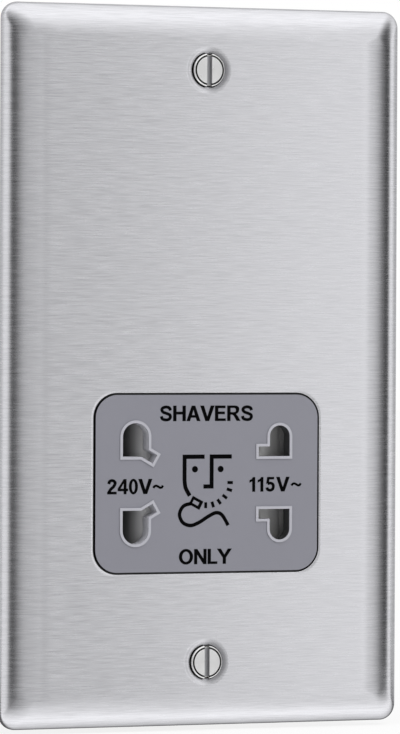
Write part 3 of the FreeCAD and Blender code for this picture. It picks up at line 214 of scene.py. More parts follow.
def join(tree, shader, **patterns):
    """Joins patterns to the shader's sockets: Base_Color stands for Base Color."""
    for name, pattern in patterns.items():
        tree.links.new(pattern, shader.inputs[name.replace("_", " ")])


print("mid grey in linear light:", round(light_of("#808080")[0], 3))

# %% [markdown]
# ## Brushed stainless steel
# The plate is 304 stainless, pressed and then brushed from side to side with a fine belt. The belt
# leaves scratches less than 0.1 mm apart and several millimetres long. They spread a highlight up and
# down but keep it narrow from side to side, which is what the shader's anisotropy does when its
# tangent stands upright. Two layers of stretched noise draw scratches coarse enough for the picture.

# %% Brushed stainless steel
steel, tree, shader = new_finish("brushed_stainless_304", "#D6D6DA", 1.0, 0.26)
shader.inputs["Anisotropic"].default_value = 0.8
upright = node(tree, "CombineXYZ", {"X": 0.0, "Y": 0.0, "Z": 1.0}).outputs["Vector"]
fine = grain(tree, (5, 2, 0.25), 1.0)
broad = grain(tree, (30, 4, 0.7), 2.0)
# Noise lies about 0.5, so the sum of the fine layer and a quarter of the broad one lies about 0.625
streaks = ramp(tree, calc(tree, "MULTIPLY_ADD", broad, 0.25, fine), 0.38, 0.87)
brushed = tint(tree, streaks, "#CECED2", "#DEDEE2")
# The belt never reaches the window's cut edge, the screw seats or the back, which stay dull; their dark tone
# is painted shade in these recesses.
# In the seats, which are far from the middle, it reaches a little deeper.
BELT_ENDS, SEAT_ENDS = -4.06, -3.86
HIDDEN_X, HIDDEN_Z = 30, 65
place = place_on(tree)
rise = calc(tree, "ABSOLUTE", place["Z"])
limit = ramp(tree, rise, 45 * MM, 55 * MM, BELT_ENDS * MM, SEAT_ENDS * MM)
behind = calc(tree, "GREATER_THAN", place["Y"], limit)
narrow = calc(tree, "LESS_THAN", calc(tree, "ABSOLUTE", place["X"]), HIDDEN_X * MM)
short = calc(tree, "LESS_THAN", rise, HIDDEN_Z * MM)
unbrushed_and_shaded = calc(tree, "MULTIPLY", calc(tree, "MULTIPLY", narrow, short), behind)
# A painted shadow darkens the steel round each screw seat, a little to the right of the screw
SHADOW_X, SHADOW_FULL, SHADOW_ENDS, SHADOW_SHARE = 0.45, 3.5, 4.5, 0.65
aside = calc(tree, "SUBTRACT", place["X"], SHADOW_X * MM)
reach = distance(tree, aside, calc(tree, "SUBTRACT", rise, SCREW_Z * MM))
screw_shadow = ramp(tree, reach, SHADOW_FULL * MM, SHADOW_ENDS * MM, SHADOW_SHARE, 0.0, interpolation_type="SMOOTHSTEP")
screw_shadowed = tint(tree, screw_shadow, brushed, "#6E6E72")
join(tree, shader, Tangent=upright, Base_Color=tint(tree, unbrushed_and_shaded, screw_shadowed, "#2E2E30"),
     Roughness=ramp(tree, streaks, 0, 1, 0.24, 0.28))
emboss(tree, shader, fine, 0.0015)
print("brushed steel nodes:", len(tree.nodes))

# %% [markdown]
# ## Plate skin
# A pressed plate has a flat face, a crown that falls away over 7 mm, and a small rolled rim. Its
# section is two tangent arcs, with a cubic before them that lets the fall start softly. On the long
# sides the crown and the rim also lie 0.14 mm lower. The skin carries that section round the plate's
# outline: one number runs round the outline, the other runs along the section. The face itself is
# flat, so it is filled between the crown, the window and the two dimples that the screws sit in.

# %% Sizes of the plate
low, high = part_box("front_plate")
WIDE, TALL = (high.x - low.x) / MM, (high.z - low.z) / MM
DEEP = -low.y / MM
# Sheet and corner, then the width of the rolled edge and the radii of its crown and rim, in mm
SHEET, CORNER = 0.9, 3.4
RUN, BEND, RIM = 7.0, 9.5, 1.5
# The rim's arc and the crown's touch at this tilt
RIM_LEVEL = DEEP - BEND + math.sqrt((BEND - RIM) ** 2 - (RUN - RIM) ** 2)
MEET = math.asin((RUN - RIM) / (BEND - RIM))
SIDE_EASE, END_EASE, SINK = math.radians(18), math.radians(8), 0.14
# A corner tightens towards the face by this share of the way in, down to a least radius
TIGHTEN, LEAST_CORNER = 0.17, 0.4
# Screw seats: the dip's depth and width, the edge's roll, then the radii of the edge, the hole and
# the seat's back, from its foot up to the sheet
DIP, DIP_WIDTH, ROLL = 0.06, 0.8, 1.0
SEAT, HOLE, SEAT_BACK = 3.65, 1.9, (3.1, 3.95)
# Window: half its sides, its corner, and the rounding of its cut edge
WINDOW, BURR = (24.63, 18.38, 5.08), 0.12
print("plate in mm:", round(WIDE, 2), round(TALL, 2), round(DEEP, 2), "rim at", round(RIM_LEVEL, 3))

# %% Outlines and sections


def round_rectangle(half_x, half_z, radius, centre_z=0.0, side=14, turn=12):
    """Closed outline of X, Z pairs: four quarter circles joined by straight sides, counterclockwise."""
    corners = []
    for k, (sx, sz) in enumerate(((1, 1), (-1, 1), (-1, -1), (1, -1))):
        angles = np.pi / 2 * (k + np.linspace(0, 1, turn))
        centre = np.array([sx * (half_x - radius), sz * (half_z - radius)])
        corners.append(centre + radius * np.stack([np.cos(angles), np.sin(angles)], 1))
    runs = []
    for k in range(4):
        start, end = corners[k][-1], corners[(k + 1) % 4][0]
        steps = np.linspace(0, 1, side + 2)[1:-1, None]
        runs += [corners[k], start + steps * (end - start)]
    return np.concatenate(runs) + [0, centre_z]


def crown_section(inset, ease=0.0, sink=0.0):
    """Out and up along the plate's section. Tilt runs from 0 on the face to 90 degrees on the wall:
    out = B sin(tilt) on the crown, then RUN - R + r sin(tilt) on the rim, with both bends less the inset.
    With an ease, it starts as a cubic, up = DEEP - L tan(ease) u^3 / 3, that meets the crown at that tilt.
    A sink lowers the crown and the rim, which starts the cubic farther in."""
    crown = np.linspace(ease, MEET, 16)
    rim = np.linspace(MEET, np.pi / 2, 12)[1:]
    big, small = BEND - inset, RIM - inset
    out = np.concatenate([big * np.sin(crown), RUN - RIM + small * np.sin(rim), [RUN - inset]])
    crown_up = DEEP - BEND + big * np.cos(crown) - sink
    rim_up = RIM_LEVEL + small * np.cos(rim) - sink
    up = np.concatenate([crown_up, rim_up, [0.0]])
    if ease:
        length = 3 * (BEND * (1 - math.cos(ease)) + sink) / math.tan(ease)
        u = np.linspace(0, 1, 11)[:-1]
        out = np.concatenate([BEND * math.sin(ease) - length * (1 - u), out])
        up = np.concatenate([DEEP - length * math.tan(ease) * u ** 3 / 3, up])
    return out, up


def strip(rings):
    """Quads between closed rings of equal length. Rings: array of ring, point, XYZ in millimetres."""
    rows, count = rings.shape[:2]
    at = np.arange(rows * count).reshape(rows, count)
    ahead = np.roll(at, -1, axis=1)
    quads = np.stack([at[:-1], ahead[:-1], ahead[1:], at[1:]], -1).reshape(-1, 4)
    return rings.reshape(-1, 3), quads


def at_level(outline, level):
    """An X, Z outline at this Y."""
    return np.stack([outline[:, 0], np.full(len(outline), level), outline[:, 1]], -1)


def plan_of(ring):
    """The X, Z outline of a ring."""
    return ring[:, [0, 2]]


def filled(outlines, level):
    """Triangles between an outer outline and the holes in it, all at one Y."""
    mesh = bmesh.new()
    edges = []
    for outline in outlines:
        ring = [mesh.verts.new(point) for point in at_level(outline, level)]
        edges += [mesh.edges.new((a, b)) for a, b in zip(ring, ring[1:] + ring[:1])]
    bmesh.ops.triangle_fill(mesh, use_beauty=True, edges=edges, normal=(0, -1, 0))
    mesh.verts.index_update()
    points = np.array([v.co for v in mesh.verts])
    faces = [[v.index for v in face.verts] for face in mesh.faces]
    mesh.free()
    return points, faces


def to_object(name, parts, sharp_degrees=35):
    """One mesh from (points in mm, faces) parts: merged, its faces turned outwards and smoothed."""
    mesh = bmesh.new()
    for points, faces in parts:
        made = [mesh.verts.new(point) for point in np.asarray(points) * MM]
        for face in faces:
            mesh.faces.new([made[i] for i in face])
    bmesh.ops.remove_doubles(mesh, verts=mesh.verts, dist=1e-7)
    bmesh.ops.recalc_face_normals(mesh, faces=mesh.faces)
    data = bpy.data.meshes.new(name)
    mesh.to_mesh(data)
    mesh.free()
    data.shade_smooth()
    data.set_sharp_from_angle(angle=math.radians(sharp_degrees))
    piece = bpy.data.objects.new(name, data)
    bpy.context.scene.collection.objects.link(piece)
    return piece


def circle_at(radius, centre_z, count=72):
    """Outline of a circle on the plate's centre line."""
    angles = np.linspace(0, 2 * np.pi, count, endpoint=False)
    return radius * np.stack([np.cos(angles), np.sin(angles)], 1) + [0, centre_z]


print("points along the section:", len(crown_section(0.0, SIDE_EASE, SINK)[0]))

# %% Plate skin


def edge_rings(inset, side_ease=0.0, end_ease=0.0, sink=0.0, side=14, turn=12):
    """The section carried round the outline: at each step out, a rectangle whose corners stay round.
    The long sides have one section and the ends another. Corners blend them by cos^2 of their angle."""
    side_share = np.concatenate([np.append(np.cos(np.pi / 2 * (k + np.linspace(0, 1, turn))) ** 2,
                                           np.full(side, k % 2)) for k in range(4)])
    rings = []
    sections = zip(*crown_section(inset, side_ease, sink), *crown_section(inset, end_ease))
    for side_out, side_up, end_out, end_up in sections:
        radius = max(CORNER - TIGHTEN * (RUN - end_out) - inset, LEAST_CORNER)
        half_x, half_z = WIDE / 2 - RUN + side_out, TALL / 2 - RUN + end_out
        outline = round_rectangle(half_x, half_z, radius, 0.0, side, turn)
        rings.append(at_level(outline, -(side_share * side_up + (1 - side_share) * end_up)))
    return np.array(rings)


def dimple_rings(centre_z):
    """A screw seat: a soft dip, a rolled edge, a cone at 45 degrees, its hole, and the cone's back.
    The dip is a smooth step, 3 t^2 - 2 t^3."""
    t = np.linspace(0, 1, 8)
    roll = np.linspace(0, np.pi / 4, 6)[1:]
    start = SEAT + ROLL * math.tan(math.pi / 8)
    dip = DIP * (3 * t ** 2 - 2 * t ** 3)
    drop = ROLL * (1 - np.cos(roll))
    cone_top = -DEEP + DIP + drop[-1]
    radii = [*(start + DIP_WIDTH * (1 - t)), *(start - ROLL * np.sin(roll)), HOLE, HOLE, *SEAT_BACK]
    levels = [*(-DEEP + dip), *(-DEEP + DIP + drop), cone_top + 1.7, -DEEP + 1.8, -DEEP + 1.82, SHEET - DEEP]
    return np.array([at_level(circle_at(r, centre_z), y) for r, y in zip(radii, levels)])


def window_rings():
    """The window's cut edge: a rounded corner free of burrs, then the sheet's thickness."""
    rings = []
    for tilt in np.linspace(0, np.pi / 2, 5):
        grow = BURR * (1 - math.sin(tilt))
        outline = round_rectangle(*(size + grow for size in WINDOW), SOCKET_Z)
        rings.append(at_level(outline, -DEEP + BURR * (1 - math.cos(tilt))))
    rings.append(at_level(round_rectangle(*WINDOW, SOCKET_Z), SHEET - DEEP))
    return np.array(rings)


outside, inside = edge_rings(0.0, SIDE_EASE, END_EASE, SINK), edge_rings(SHEET)
window = window_rings()
dimples = [dimple_rings(sign * SCREW_Z) for sign in (1, -1)]
# A narrow band beside each bend keeps the face's own shading flat
EDGE_BAND, WINDOW_BAND, SEAT_BAND = -0.2, 0.4, 4.95
bands = []
face_outlines = []
for ring, grow in ((outside[0], EDGE_BAND), (window[0], WINDOW_BAND)):
    plan = plan_of(ring)
    wider = plan + grow * np.sign(plan - plan.mean(0))
    bands.append(strip(np.array([ring, at_level(wider, -DEEP)])))
    face_outlines.append(wider)
for rings, sign in zip(dimples, (1, -1)):
    plan = circle_at(SEAT_BAND, sign * SCREW_Z)
    bands.append(strip(np.array([rings[0], at_level(plan, -DEEP)])))
    face_outlines.append(plan)
parts = [
    strip(outside), strip(inside), strip(window), *(strip(rings) for rings in dimples), *bands,
    strip(np.array([outside[-1], inside[-1]])),
    filled(face_outlines, -DEEP),
    filled([plan_of(inside[0]), *(plan_of(rings[-1]) for rings in (window, *dimples))], SHEET - DEEP),
]
plate = to_object("plate_skin", parts)
plate.data.materials.append(steel)
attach(plate, "housing")
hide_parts("front_plate")
print("plate skin faces:", len(plate.data.polygons))

# %% [markdown]
# ## Moulded plastics
# The insert, chassis, socket body, shutter and case are injection moulded. A moulding carries the
# fine spark-eroded grain of its tool, a faint drift of colour where the melt flowed, and a soft
# sheen. One function makes them, with the grain's size in millimetres for each part.

# %% Moulded plastics


def moulded(name, colour, shade, roughness, grain_mm, depth_mm, ior=1.57):
    """A moulding: tool grain as bump, a slow colour drift, and roughness that follows the grain."""
    material, tree, shader = new_finish(name, colour, 0.0, roughness, ior)
    texture = grain(tree, (grain_mm,) * 3, 3.0)
    drift = grain(tree, (14, 14, 14), 2.0)
    join(tree, shader, Base_Color=tint(tree, drift, colour, shade),
         Roughness=ramp(tree, texture, 0, 1, roughness - 0.05, roughness + 0.07))
    emboss(tree, shader, texture, depth_mm)
    return material, tree, shader


insert_grey, tree, shader = moulded("grey_polycarbonate", "#86868F", "#83838C", 0.42, 0.25, 0.002)
place = place_on(tree)
# The lips round the apertures are painted paler than the face, a painted highlight where they catch the
# light
LIP_FOOT, LIP_TOP = -4.50, -4.56
on_lip = ramp(tree, place["Y"], LIP_FOOT * MM, LIP_TOP * MM)
face_and_lit_lips = tint(tree, on_lip, shader.inputs["Base Color"].links[0].from_socket, "#B0B0B8")
# The left apertures' walls are painted pale as painted light, the right ones' walls dark as painted shade
WALL_TOP = -4.36
deep = calc(tree, "GREATER_THAN", place["Y"], WALL_TOP * MM)
right = calc(tree, "GREATER_THAN", place["X"], 0.0)
lit_and_shaded_walls = tint(tree, deep, face_and_lit_lips, tint(tree, right, "#C4C4CA", "#2A2A2E"))
# Painted shade blackens the narrow slit round the insert: its side walls, outside the apertures' area
APERTURES_X, APERTURES_Z = 21, 14
centred = calc(tree, "SUBTRACT", place["Z"], SOCKET_Z * MM)
wide = calc(tree, "GREATER_THAN", calc(tree, "ABSOLUTE", place["X"]), APERTURES_X * MM)
tall = calc(tree, "GREATER_THAN", calc(tree, "ABSOLUTE", centred), APERTURES_Z * MM)
in_slit = calc(tree, "MULTIPLY", calc(tree, "MAXIMUM", wide, tall), deep)
join(tree, shader, Base_Color=tint(tree, in_slit, lit_and_shaded_walls, "#0E0E10"))

# The ramps' tones are painted light and shade: both are pale so that they look lit down in the apertures,
# and the left ramp darkens towards its low end as painted shade.
acetal, tree, shader = moulded("acetal_shutter", "#B6B6BC", "#AFAFB6", 0.32, 0.6, 0.002, 1.48)
RAMP_LIGHT_AND_SHADE = [(-16.6, 0.006), (-15.3, 0.07), (-14.3, 0.22), (-12.9, 0.56), (12.8, 0.7), (16.0, 0.8)]
join(tree, shader, Base_Color=levels_by(tree, place_on(tree)["X"], RAMP_LIGHT_AND_SHADE, 42, MM))
shader.inputs["Specular IOR Level"].default_value = 0.2

PLASTICS = {
    "socket_face": insert_grey,
    "base_frame": moulded("nylon_chassis", "#404043", "#3A3A3D", 0.5, 0.4, 0.006, 1.53)[0],
    "socket_body": moulded("urea_body", "#38383B", "#333336", 0.34, 0.5, 0.003, 1.6)[0],
    "rear_case": moulded("grey_polycarbonate_case", "#48484D", "#434348", 0.46, 0.35, 0.008)[0],
    "shutter": acetal,
    "bobbin": moulded("nylon_bobbin", "#E0DDD2", "#D6D2C5", 0.45, 0.4, 0.004, 1.53)[0],
}


def dress(name, material):
    """Puts a finish on a CAD node's material slots."""
    slots = nodes[name].material_slots
    if not slots:
        nodes[name].data.materials.append(material)
    for slot in slots:
        slot.material = material


for name, material in PLASTICS.items():
    dress(name, material)
print("plastic nodes:", len(PLASTICS))

# %% [markdown]
# ## Metals
# The small metal parts differ in how they were made. Screw heads are turned, so their marks are
# rings about each screw's axis. Brass clips and terminals are drawn or sawn and show fine lines.
# Laminations are a stack of 0.5 mm sheets. Each pattern starts from that real size.

# %% Screws


def about_screw(tree):
    """Distance and angle about the fixing screws' axes, then X and Y. The two screws mirror each other
    about Z = 0."""
    place = place_on(tree)
    rise = calc(tree, "SUBTRACT", calc(tree, "ABSOLUTE", place["Z"]), SCREW_Z * MM)
    return distance(tree, place["X"], rise), calc(tree, "ARCTAN2", rise, place["X"]), place["X"], place["Y"]


screw_metal, tree, shader = new_finish("nickel_plated_screws", "#EAE9E7", 1.0, 0.3)
far, angle, across, depth = about_screw(tree)
# Turning marks on the head, and a thread that climbs once round for each turn from 1 mm behind the
# wall's face. The thread is this many times as deep as the marks.
MARK_PITCH, THREAD_PITCH, THREAD_DEPTH = 0.18, 0.6, 12.0
turned = calc(tree, "SINE", phase(tree, far, MARK_PITCH))
thread = calc(tree, "SINE", calc(tree, "ADD", phase(tree, depth, THREAD_PITCH), angle))
threaded = calc(tree, "GREATER_THAN", depth, 1.0 * MM)
raised = {"Factor": threaded, "A": turned, "B": calc(tree, "MULTIPLY", thread, THREAD_DEPTH)}
emboss(tree, shader, node(tree, "Mix", raised).outputs["Result"], 0.004)
# The turned bevel is matt, and everything behind it
wear = grain(tree, (1.2, 1.2, 1.2), 3.0)
BEVEL_TOP, HEAD_BACK, HEAD_EDGE, HALF_SLOT = -4.74, -4.3, 3.0, 0.57
matt = calc(tree, "MULTIPLY", calc(tree, "GREATER_THAN", depth, BEVEL_TOP * MM), 0.22)
rough = calc(tree, "ADD", ramp(tree, wear, 0, 1, 0.24, 0.34), matt)
# A dark ring just inside the bevel and the head's side behind it are painted shade, for the gap round the
# head. The slot's floor is greyer than its ends, which are painted bright as a painted highlight.
HEAD_TONES = [(0, 0.88), (2.76, 0.88), (2.79, 0.002), (3.1, 0.002), (3.13, 0.95), (4, 0.95)]
head = levels_by(tree, far, HEAD_TONES, 8, MM)
sunk = calc(tree, "GREATER_THAN", depth, HEAD_BACK * MM)
at_edge = calc(tree, "GREATER_THAN", far, HEAD_EDGE * MM)
beyond_slot = calc(tree, "GREATER_THAN", calc(tree, "ABSOLUTE", across), HALF_SLOT * MM)
low_tone = tint(tree, at_edge, "#B8B9BC", tint(tree, beyond_slot, "#F4F3F0", "#454442"))
join(tree, shader, Roughness=rough, Base_Color=tint(tree, sunk, head, low_tone))
dress("fixing_screws", screw_metal)
print("screw finish nodes:", len(tree.nodes))

# %% Brass, spring steel and plated steel


def drawn_metal(name, colour, tarnish, roughness, cell_mm, depth_mm, slow_mm=5.0):
    """A drawn, stamped or plated metal: its lines follow the cell's long side, over a slow tarnish."""
    material, tree, shader = new_finish(name, colour, 1.0, roughness)
    lines = grain(tree, cell_mm, 3.0)
    patches = grain(tree, (slow_mm,) * 3, 3.0)
    join(tree, shader, Base_Color=tint(tree, patches, colour, tarnish),
         Roughness=ramp(tree, lines, 0, 1, roughness - 0.07, roughness + 0.1))
    emboss(tree, shader, lines, depth_mm)
    return material


brass = drawn_metal("stamped_brass", "#D9B36A", "#C29A55", 0.3, (0.15, 4, 0.15), 0.003)
turned_brass = drawn_metal("sawn_brass_terminals", "#D2AE66", "#BF9750", 0.32, (4, 0.2, 0.2), 0.004)
zinc = drawn_metal("zinc_plated_steel", "#CFCFCB", "#B9BAB6", 0.36, (0.4, 0.4, 0.4), 0.004)
spring_metal = drawn_metal("spring_steel_wire", "#BDBDC0", "#A9A9AD", 0.28, (1.5, 0.1, 0.1), 0.002)
METALS = {
    "contact_high": brass, "contact_low": brass, "contact_common": brass, "switch_bridge": brass,
    "switch_strip_in": brass, "switch_strip_out": brass, "terminal_live": turned_brass,
    "terminal_earth": turned_brass, "terminal_neutral": turned_brass, "terminal_screws": zinc,
    "case_screws": zinc, "core_straps": zinc, "earth_strap": zinc,
}
for name, material in METALS.items():
    dress(name, material)
print("metal nodes:", len(METALS))

# %% [markdown]
# ## Transformer
# The core is a stack of varnished silicon steel sheets, the windings are enamelled copper wire laid
# turn by turn, and polyester tape holds them. A wave with the sheet's or the wire's real pitch gives
# both their lines. The tape is a clear amber film, so some of the light goes through it.

# %% Transformer


def banded(material_parts, axis, pitch_mm, depth_mm, colour_a, colour_b):
    """Lines across one axis at a real pitch, as a sine of the place along it, in height and in colour."""
    material, tree, shader = material_parts
    wave = calc(tree, "SINE", phase(tree, place_on(tree)[axis], pitch_mm))
    emboss(tree, shader, wave, depth_mm)
    join(tree, shader, Base_Color=tint(tree, ramp(tree, wave, -1, 1), colour_a, colour_b))
    return material


core_metal = banded(new_finish("varnished_laminations", "#55555A", 0.7, 0.42), "Y", 0.5, 0.03,
                    "#2E2D30", "#66666C")
copper = banded(new_finish("enamelled_copper_wire", "#B4683A", 0.85, 0.26), "Z", 0.28, 0.05,
                "#6E2F17", "#C9743C")

tape, tree, shader = new_finish("amber_polyester_tape", "#E0B548", 0.0, 0.2, 1.64)
shader.inputs["Transmission Weight"].default_value = 0.35
layers = grain(tree, (8, 8, 0.8), 3.0)
join(tree, shader, Base_Color=tint(tree, layers, "#E3B94E", "#CF9E33"))
emboss(tree, shader, layers, 0.02)

cutout, tree, shader = new_finish("glazed_cutout_body", "#E3DFD4", 0.0, 0.3, 1.55)
speckle = grain(tree, (0.3, 0.3, 0.3), 2.0)
join(tree, shader, Base_Color=tint(tree, speckle, "#E8E4DA", "#DAD5C8"))
emboss(tree, shader, speckle, 0.004)

TRANSFORMER = {"core_e": core_metal, "core_i": core_metal, "primary_winding": copper,
               "secondary_winding": copper, "winding_tape": tape, "thermal_cutout": cutout}
for name, material in TRANSFORMER.items():
    dress(name, material)
print("transformer nodes:", len(TRANSFORMER))

# %% [markdown]
# ## Wire insulation
# The inner wires wear soft PVC in the usual colours. Extruded PVC is smooth along its length with
# a satin sheen and a slight waviness, so its noise is slow and shallow.

# %% Wire insulation


def pvc(name, colour, shade):
    """Extruded insulation: a satin skin with a slow waviness."""
    material, tree, shader = new_finish(name, colour, 0.0, 0.38, 1.53)
    shader.inputs["Coat Weight"].default_value = 0.15
    wave = grain(tree, (1.2, 1.2, 1.2), 2.0)
    join(tree, shader, Base_Color=tint(tree, wave, colour, shade))
    emboss(tree, shader, wave, 0.02)
    return material


WIRES = {
    "lead_live": ("brown_pvc", "#6B4226", "#5E3920"),
    "lead_switched": ("brown_pvc_inner", "#6B4226", "#5E3920"),
    "lead_neutral": ("blue_pvc", "#2F6DB5", "#285FA0"),
    "lead_high": ("red_pvc", "#B7312C", "#A52A26"),
    "lead_low": ("white_pvc", "#E6E5E0", "#DAD9D3"),
    "lead_common": ("black_pvc", "#26262A", "#2E2E33"),
}
for name, (finish, colour, shade) in WIRES.items():
    dress(name, pvc(finish, colour, shade))
print("wires:", len(WIRES))

# %% [markdown]
# ## Centring springs
# Two coil springs hold the shutter in the middle. A coil is a small circle carried along a helix:
# one angle runs round the coil, the other round the wire. When the shutter slides, one end of each
# spring stays with the housing and the other goes with the carriage. Here each spring is built at
# rest and is not attached to either body.

# %% Centring springs


def coil_spring(name, start_x, end_x, axis_y, axis_z, mean=1.95, wire=0.25, turns=7.5):
    """Surface P(t, s) = C(t) + wire (N cos s + B sin s), with C a helix along X of this mean radius."""
    t = np.linspace(0, 2 * np.pi * turns, int(turns * 40) + 1)[:, None]
    s = np.linspace(0, 2 * np.pi, 12, endpoint=False)[None, :]
    length = end_x - start_x
    along = start_x + length * (t / t.max())
    slope = length / (t.max() * mean)
    lean = math.hypot(1, slope)
    outward = np.stack([np.zeros_like(t), np.cos(t), np.sin(t)], -1)
    tangent = np.stack([np.full_like(t, slope), -np.sin(t), np.cos(t)], -1) / lean
    across = np.cross(tangent, outward)
    centre = np.stack([along, mean * np.cos(t), mean * np.sin(t)], -1)
    tube = centre + wire * (outward * np.cos(s)[..., None] + across * np.sin(s)[..., None])
    tube += [0, axis_y, axis_z]
    rows, count = tube.shape[:2]
    points, quads = strip(tube)
    caps = [list(range(count)), list(range((rows - 1) * count, rows * count))]
    return to_object(name, [(points, quads.tolist() + caps)], 60)


# Places along X, in mm from the middle: the spring's two ends, then where each body has all of it
FIXED_END, MOVING_END, HOUSING_X, CARRIAGE_X = 31.25, 5.35, 31.6, 5.0
SPRING_Y = 1.4
for side, sign in (("left", -1), ("right", 1)):
    start_x, end_x = sorted((sign * FIXED_END, sign * MOVING_END))
    spring = coil_spring(f"coil_{side}", start_x, end_x, SPRING_Y, SOCKET_Z)
    spring.data.materials.append(spring_metal)
    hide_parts(f"shutter_spring_{side}")
    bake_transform(spring)
    print(spring.name, "faces:", len(spring.data.polygons))

# %% [markdown]
# ## Printed marks
# The insert carries plain pad-printed marks: the two ratings, the usual words of use, and the
# standard pictogram. Print is a film of ink a few hundredths of a millimetre thick, so each mark is
# a thin solid that sits on the plastic. A stroke is a band of constant width on both sides of a line.

# %% Ink
ink, tree, shader = new_finish("pad_printed_ink", "#030304", 0.0, 0.7, 1.5)
# Matt carbon ink mirrors hardly anything
shader.inputs["Specular IOR Level"].default_value = 0.04
flow = grain(tree, (0.3, 0.3, 0.3), 2.0)
join(tree, shader, Base_Color=tint(tree, flow, "#020203", "#050506"))
emboss(tree, shader, flow, 0.002)
INK_BACK, INK_FRONT = -4.39, -4.425
marks = []


def ink_solid(outlines):
    """A thin solid between two levels from closed X, Z outlines about the socket's centre, with walls."""
    moved = [np.asarray(outline) + [0, SOCKET_Z] for outline in outlines]
    marks.append(filled(moved, INK_FRONT))
    marks.append(filled(moved, INK_BACK))
    for outline in moved:
        marks.append(strip(np.array([at_level(outline, INK_FRONT), at_level(outline, INK_BACK)])))


def smooth_line(points, steps=10):
    """A curve through the points: each run is a cubic whose end slopes follow the neighbours."""
    points = np.asarray(points, float)
    padded = np.concatenate([[2 * points[0] - points[1]], points, [2 * points[-1] - points[-2]]])
    a, b, c, d = (padded[k:len(padded) - 3 + k, None] for k in range(4))
    t = np.linspace(0, 1, steps, endpoint=False)[None, :, None]
    square, cube = 2 * a - 5 * b + 4 * c - d, 3 * b - a - 3 * c + d
    run = 0.5 * (2 * b + (c - a) * t + square * t ** 2 + cube * t ** 3)
    return np.concatenate([run.reshape(-1, 2), points[-1:]])


def stroke(points, width):
    """Outline of a band: the line offset by half a width to each side, with mitred corners."""
    points = np.asarray(points, float)
    runs = np.diff(points, axis=0)
    runs /= np.linalg.norm(runs, axis=1)[:, None]
    normals = np.stack([-runs[:, 1], runs[:, 0]], 1)
    before = np.concatenate([normals[:1], normals])
    after = np.concatenate([normals, normals[-1:]])
    mitre = before + after
    mitre /= (mitre * before).sum(1)[:, None]
    return np.concatenate([points + mitre * width / 2, (points - mitre * width / 2)[::-1]])


print("ink film in mm:", round(INK_BACK - INK_FRONT, 3))

# %% Pictogram
LINE = 0.86
ink_solid([stroke([(-0.63, 5.4), (-4.99, 5.4), *smooth_line([(-4.99, 0.6), (-4.75, -0.9), (-3.85, -2.55)])],
                  LINE)])
ink_solid([stroke([(5.33, 5.4), (0.93, 5.4), (0.93, -0.68), (-0.86, -0.68)], LINE)])
for x in (-2.72, 2.9):
    angles = np.linspace(0, 2 * np.pi, 32, endpoint=False)
    ink_solid([np.stack([x + 0.65 * np.cos(angles), 2.85 + 0.65 * np.sin(angles)], 1)])


def tilted_box(centre, size, degrees):
    """Corners of a rectangle turned about its centre."""
    turn = math.radians(degrees)
    corners = np.array([(-1, -1), (1, -1), (1, 1), (-1, 1)]) * np.array(size) / 2
    spin = np.array([[math.cos(turn), -math.sin(turn)], [math.sin(turn), math.cos(turn)]])
    return corners @ spin.T + centre


ink_solid([tilted_box((-2.44, -4.0), (2.6, 1.9), -28), tilted_box((-2.5, -3.98), (1.35, 0.75), -28)])
cord_line = smooth_line([(-3.5, -4.1), (-5.2, -4.65), (-6.05, -6.25), (-5.35, -7.95), (-3.65, -8.6),
                         (-1.8, -8.0), (0.3, -6.75), (2.0, -6.05), (3.3, -6.6), (4.6, -8.65)])
ink_solid([stroke(cord_line, 0.74)])
for x, z in ((-0.34, -4.5), (1.2, -4.37), (2.6, -3.8), (3.83, -2.8), (4.84, -1.4), (5.0, 0.07)):
    angle = math.degrees(math.atan2(z - 0.2, x + 0.3))
    ink_solid([tilted_box((x, z), (1.2, 0.62), angle)])
print("pictogram parts:", len(marks))

# %% [markdown]
# ## Words and ratings
# The letters are the plain bold kind that is pad printed on such inserts. Straight letters are
# polygons and round ones are bands along a curve, all drawn one cap height tall. A word is set along
# a line: what its letters leave of the line's length is shared out as the gaps between them.

# %% Letter shapes


def bow(*points):
    """A round stroke of a letter: a band along a smooth curve."""
    return [stroke(smooth_line(points, 6), 0.19)]


def oval(wide, thick=0.19):
    """A closed round letter: an ellipse with a smaller one cut from it."""
    angles = np.linspace(0, 2 * np.pi, 40, endpoint=False)
    circle = np.stack([np.cos(angles), np.sin(angles)], 1)
    middle = np.array([wide / 2, 0.5])
    return [middle + circle * [wide / 2, 0.515], middle + circle * [wide / 2 - thick, 0.515 - 0.85 * thick]]


VEE = [[(-0.06, 1), (0.18, 1), (0.39, 0.3), (0.6, 1), (0.84, 1), (0.51, 0), (0.27, 0)]]
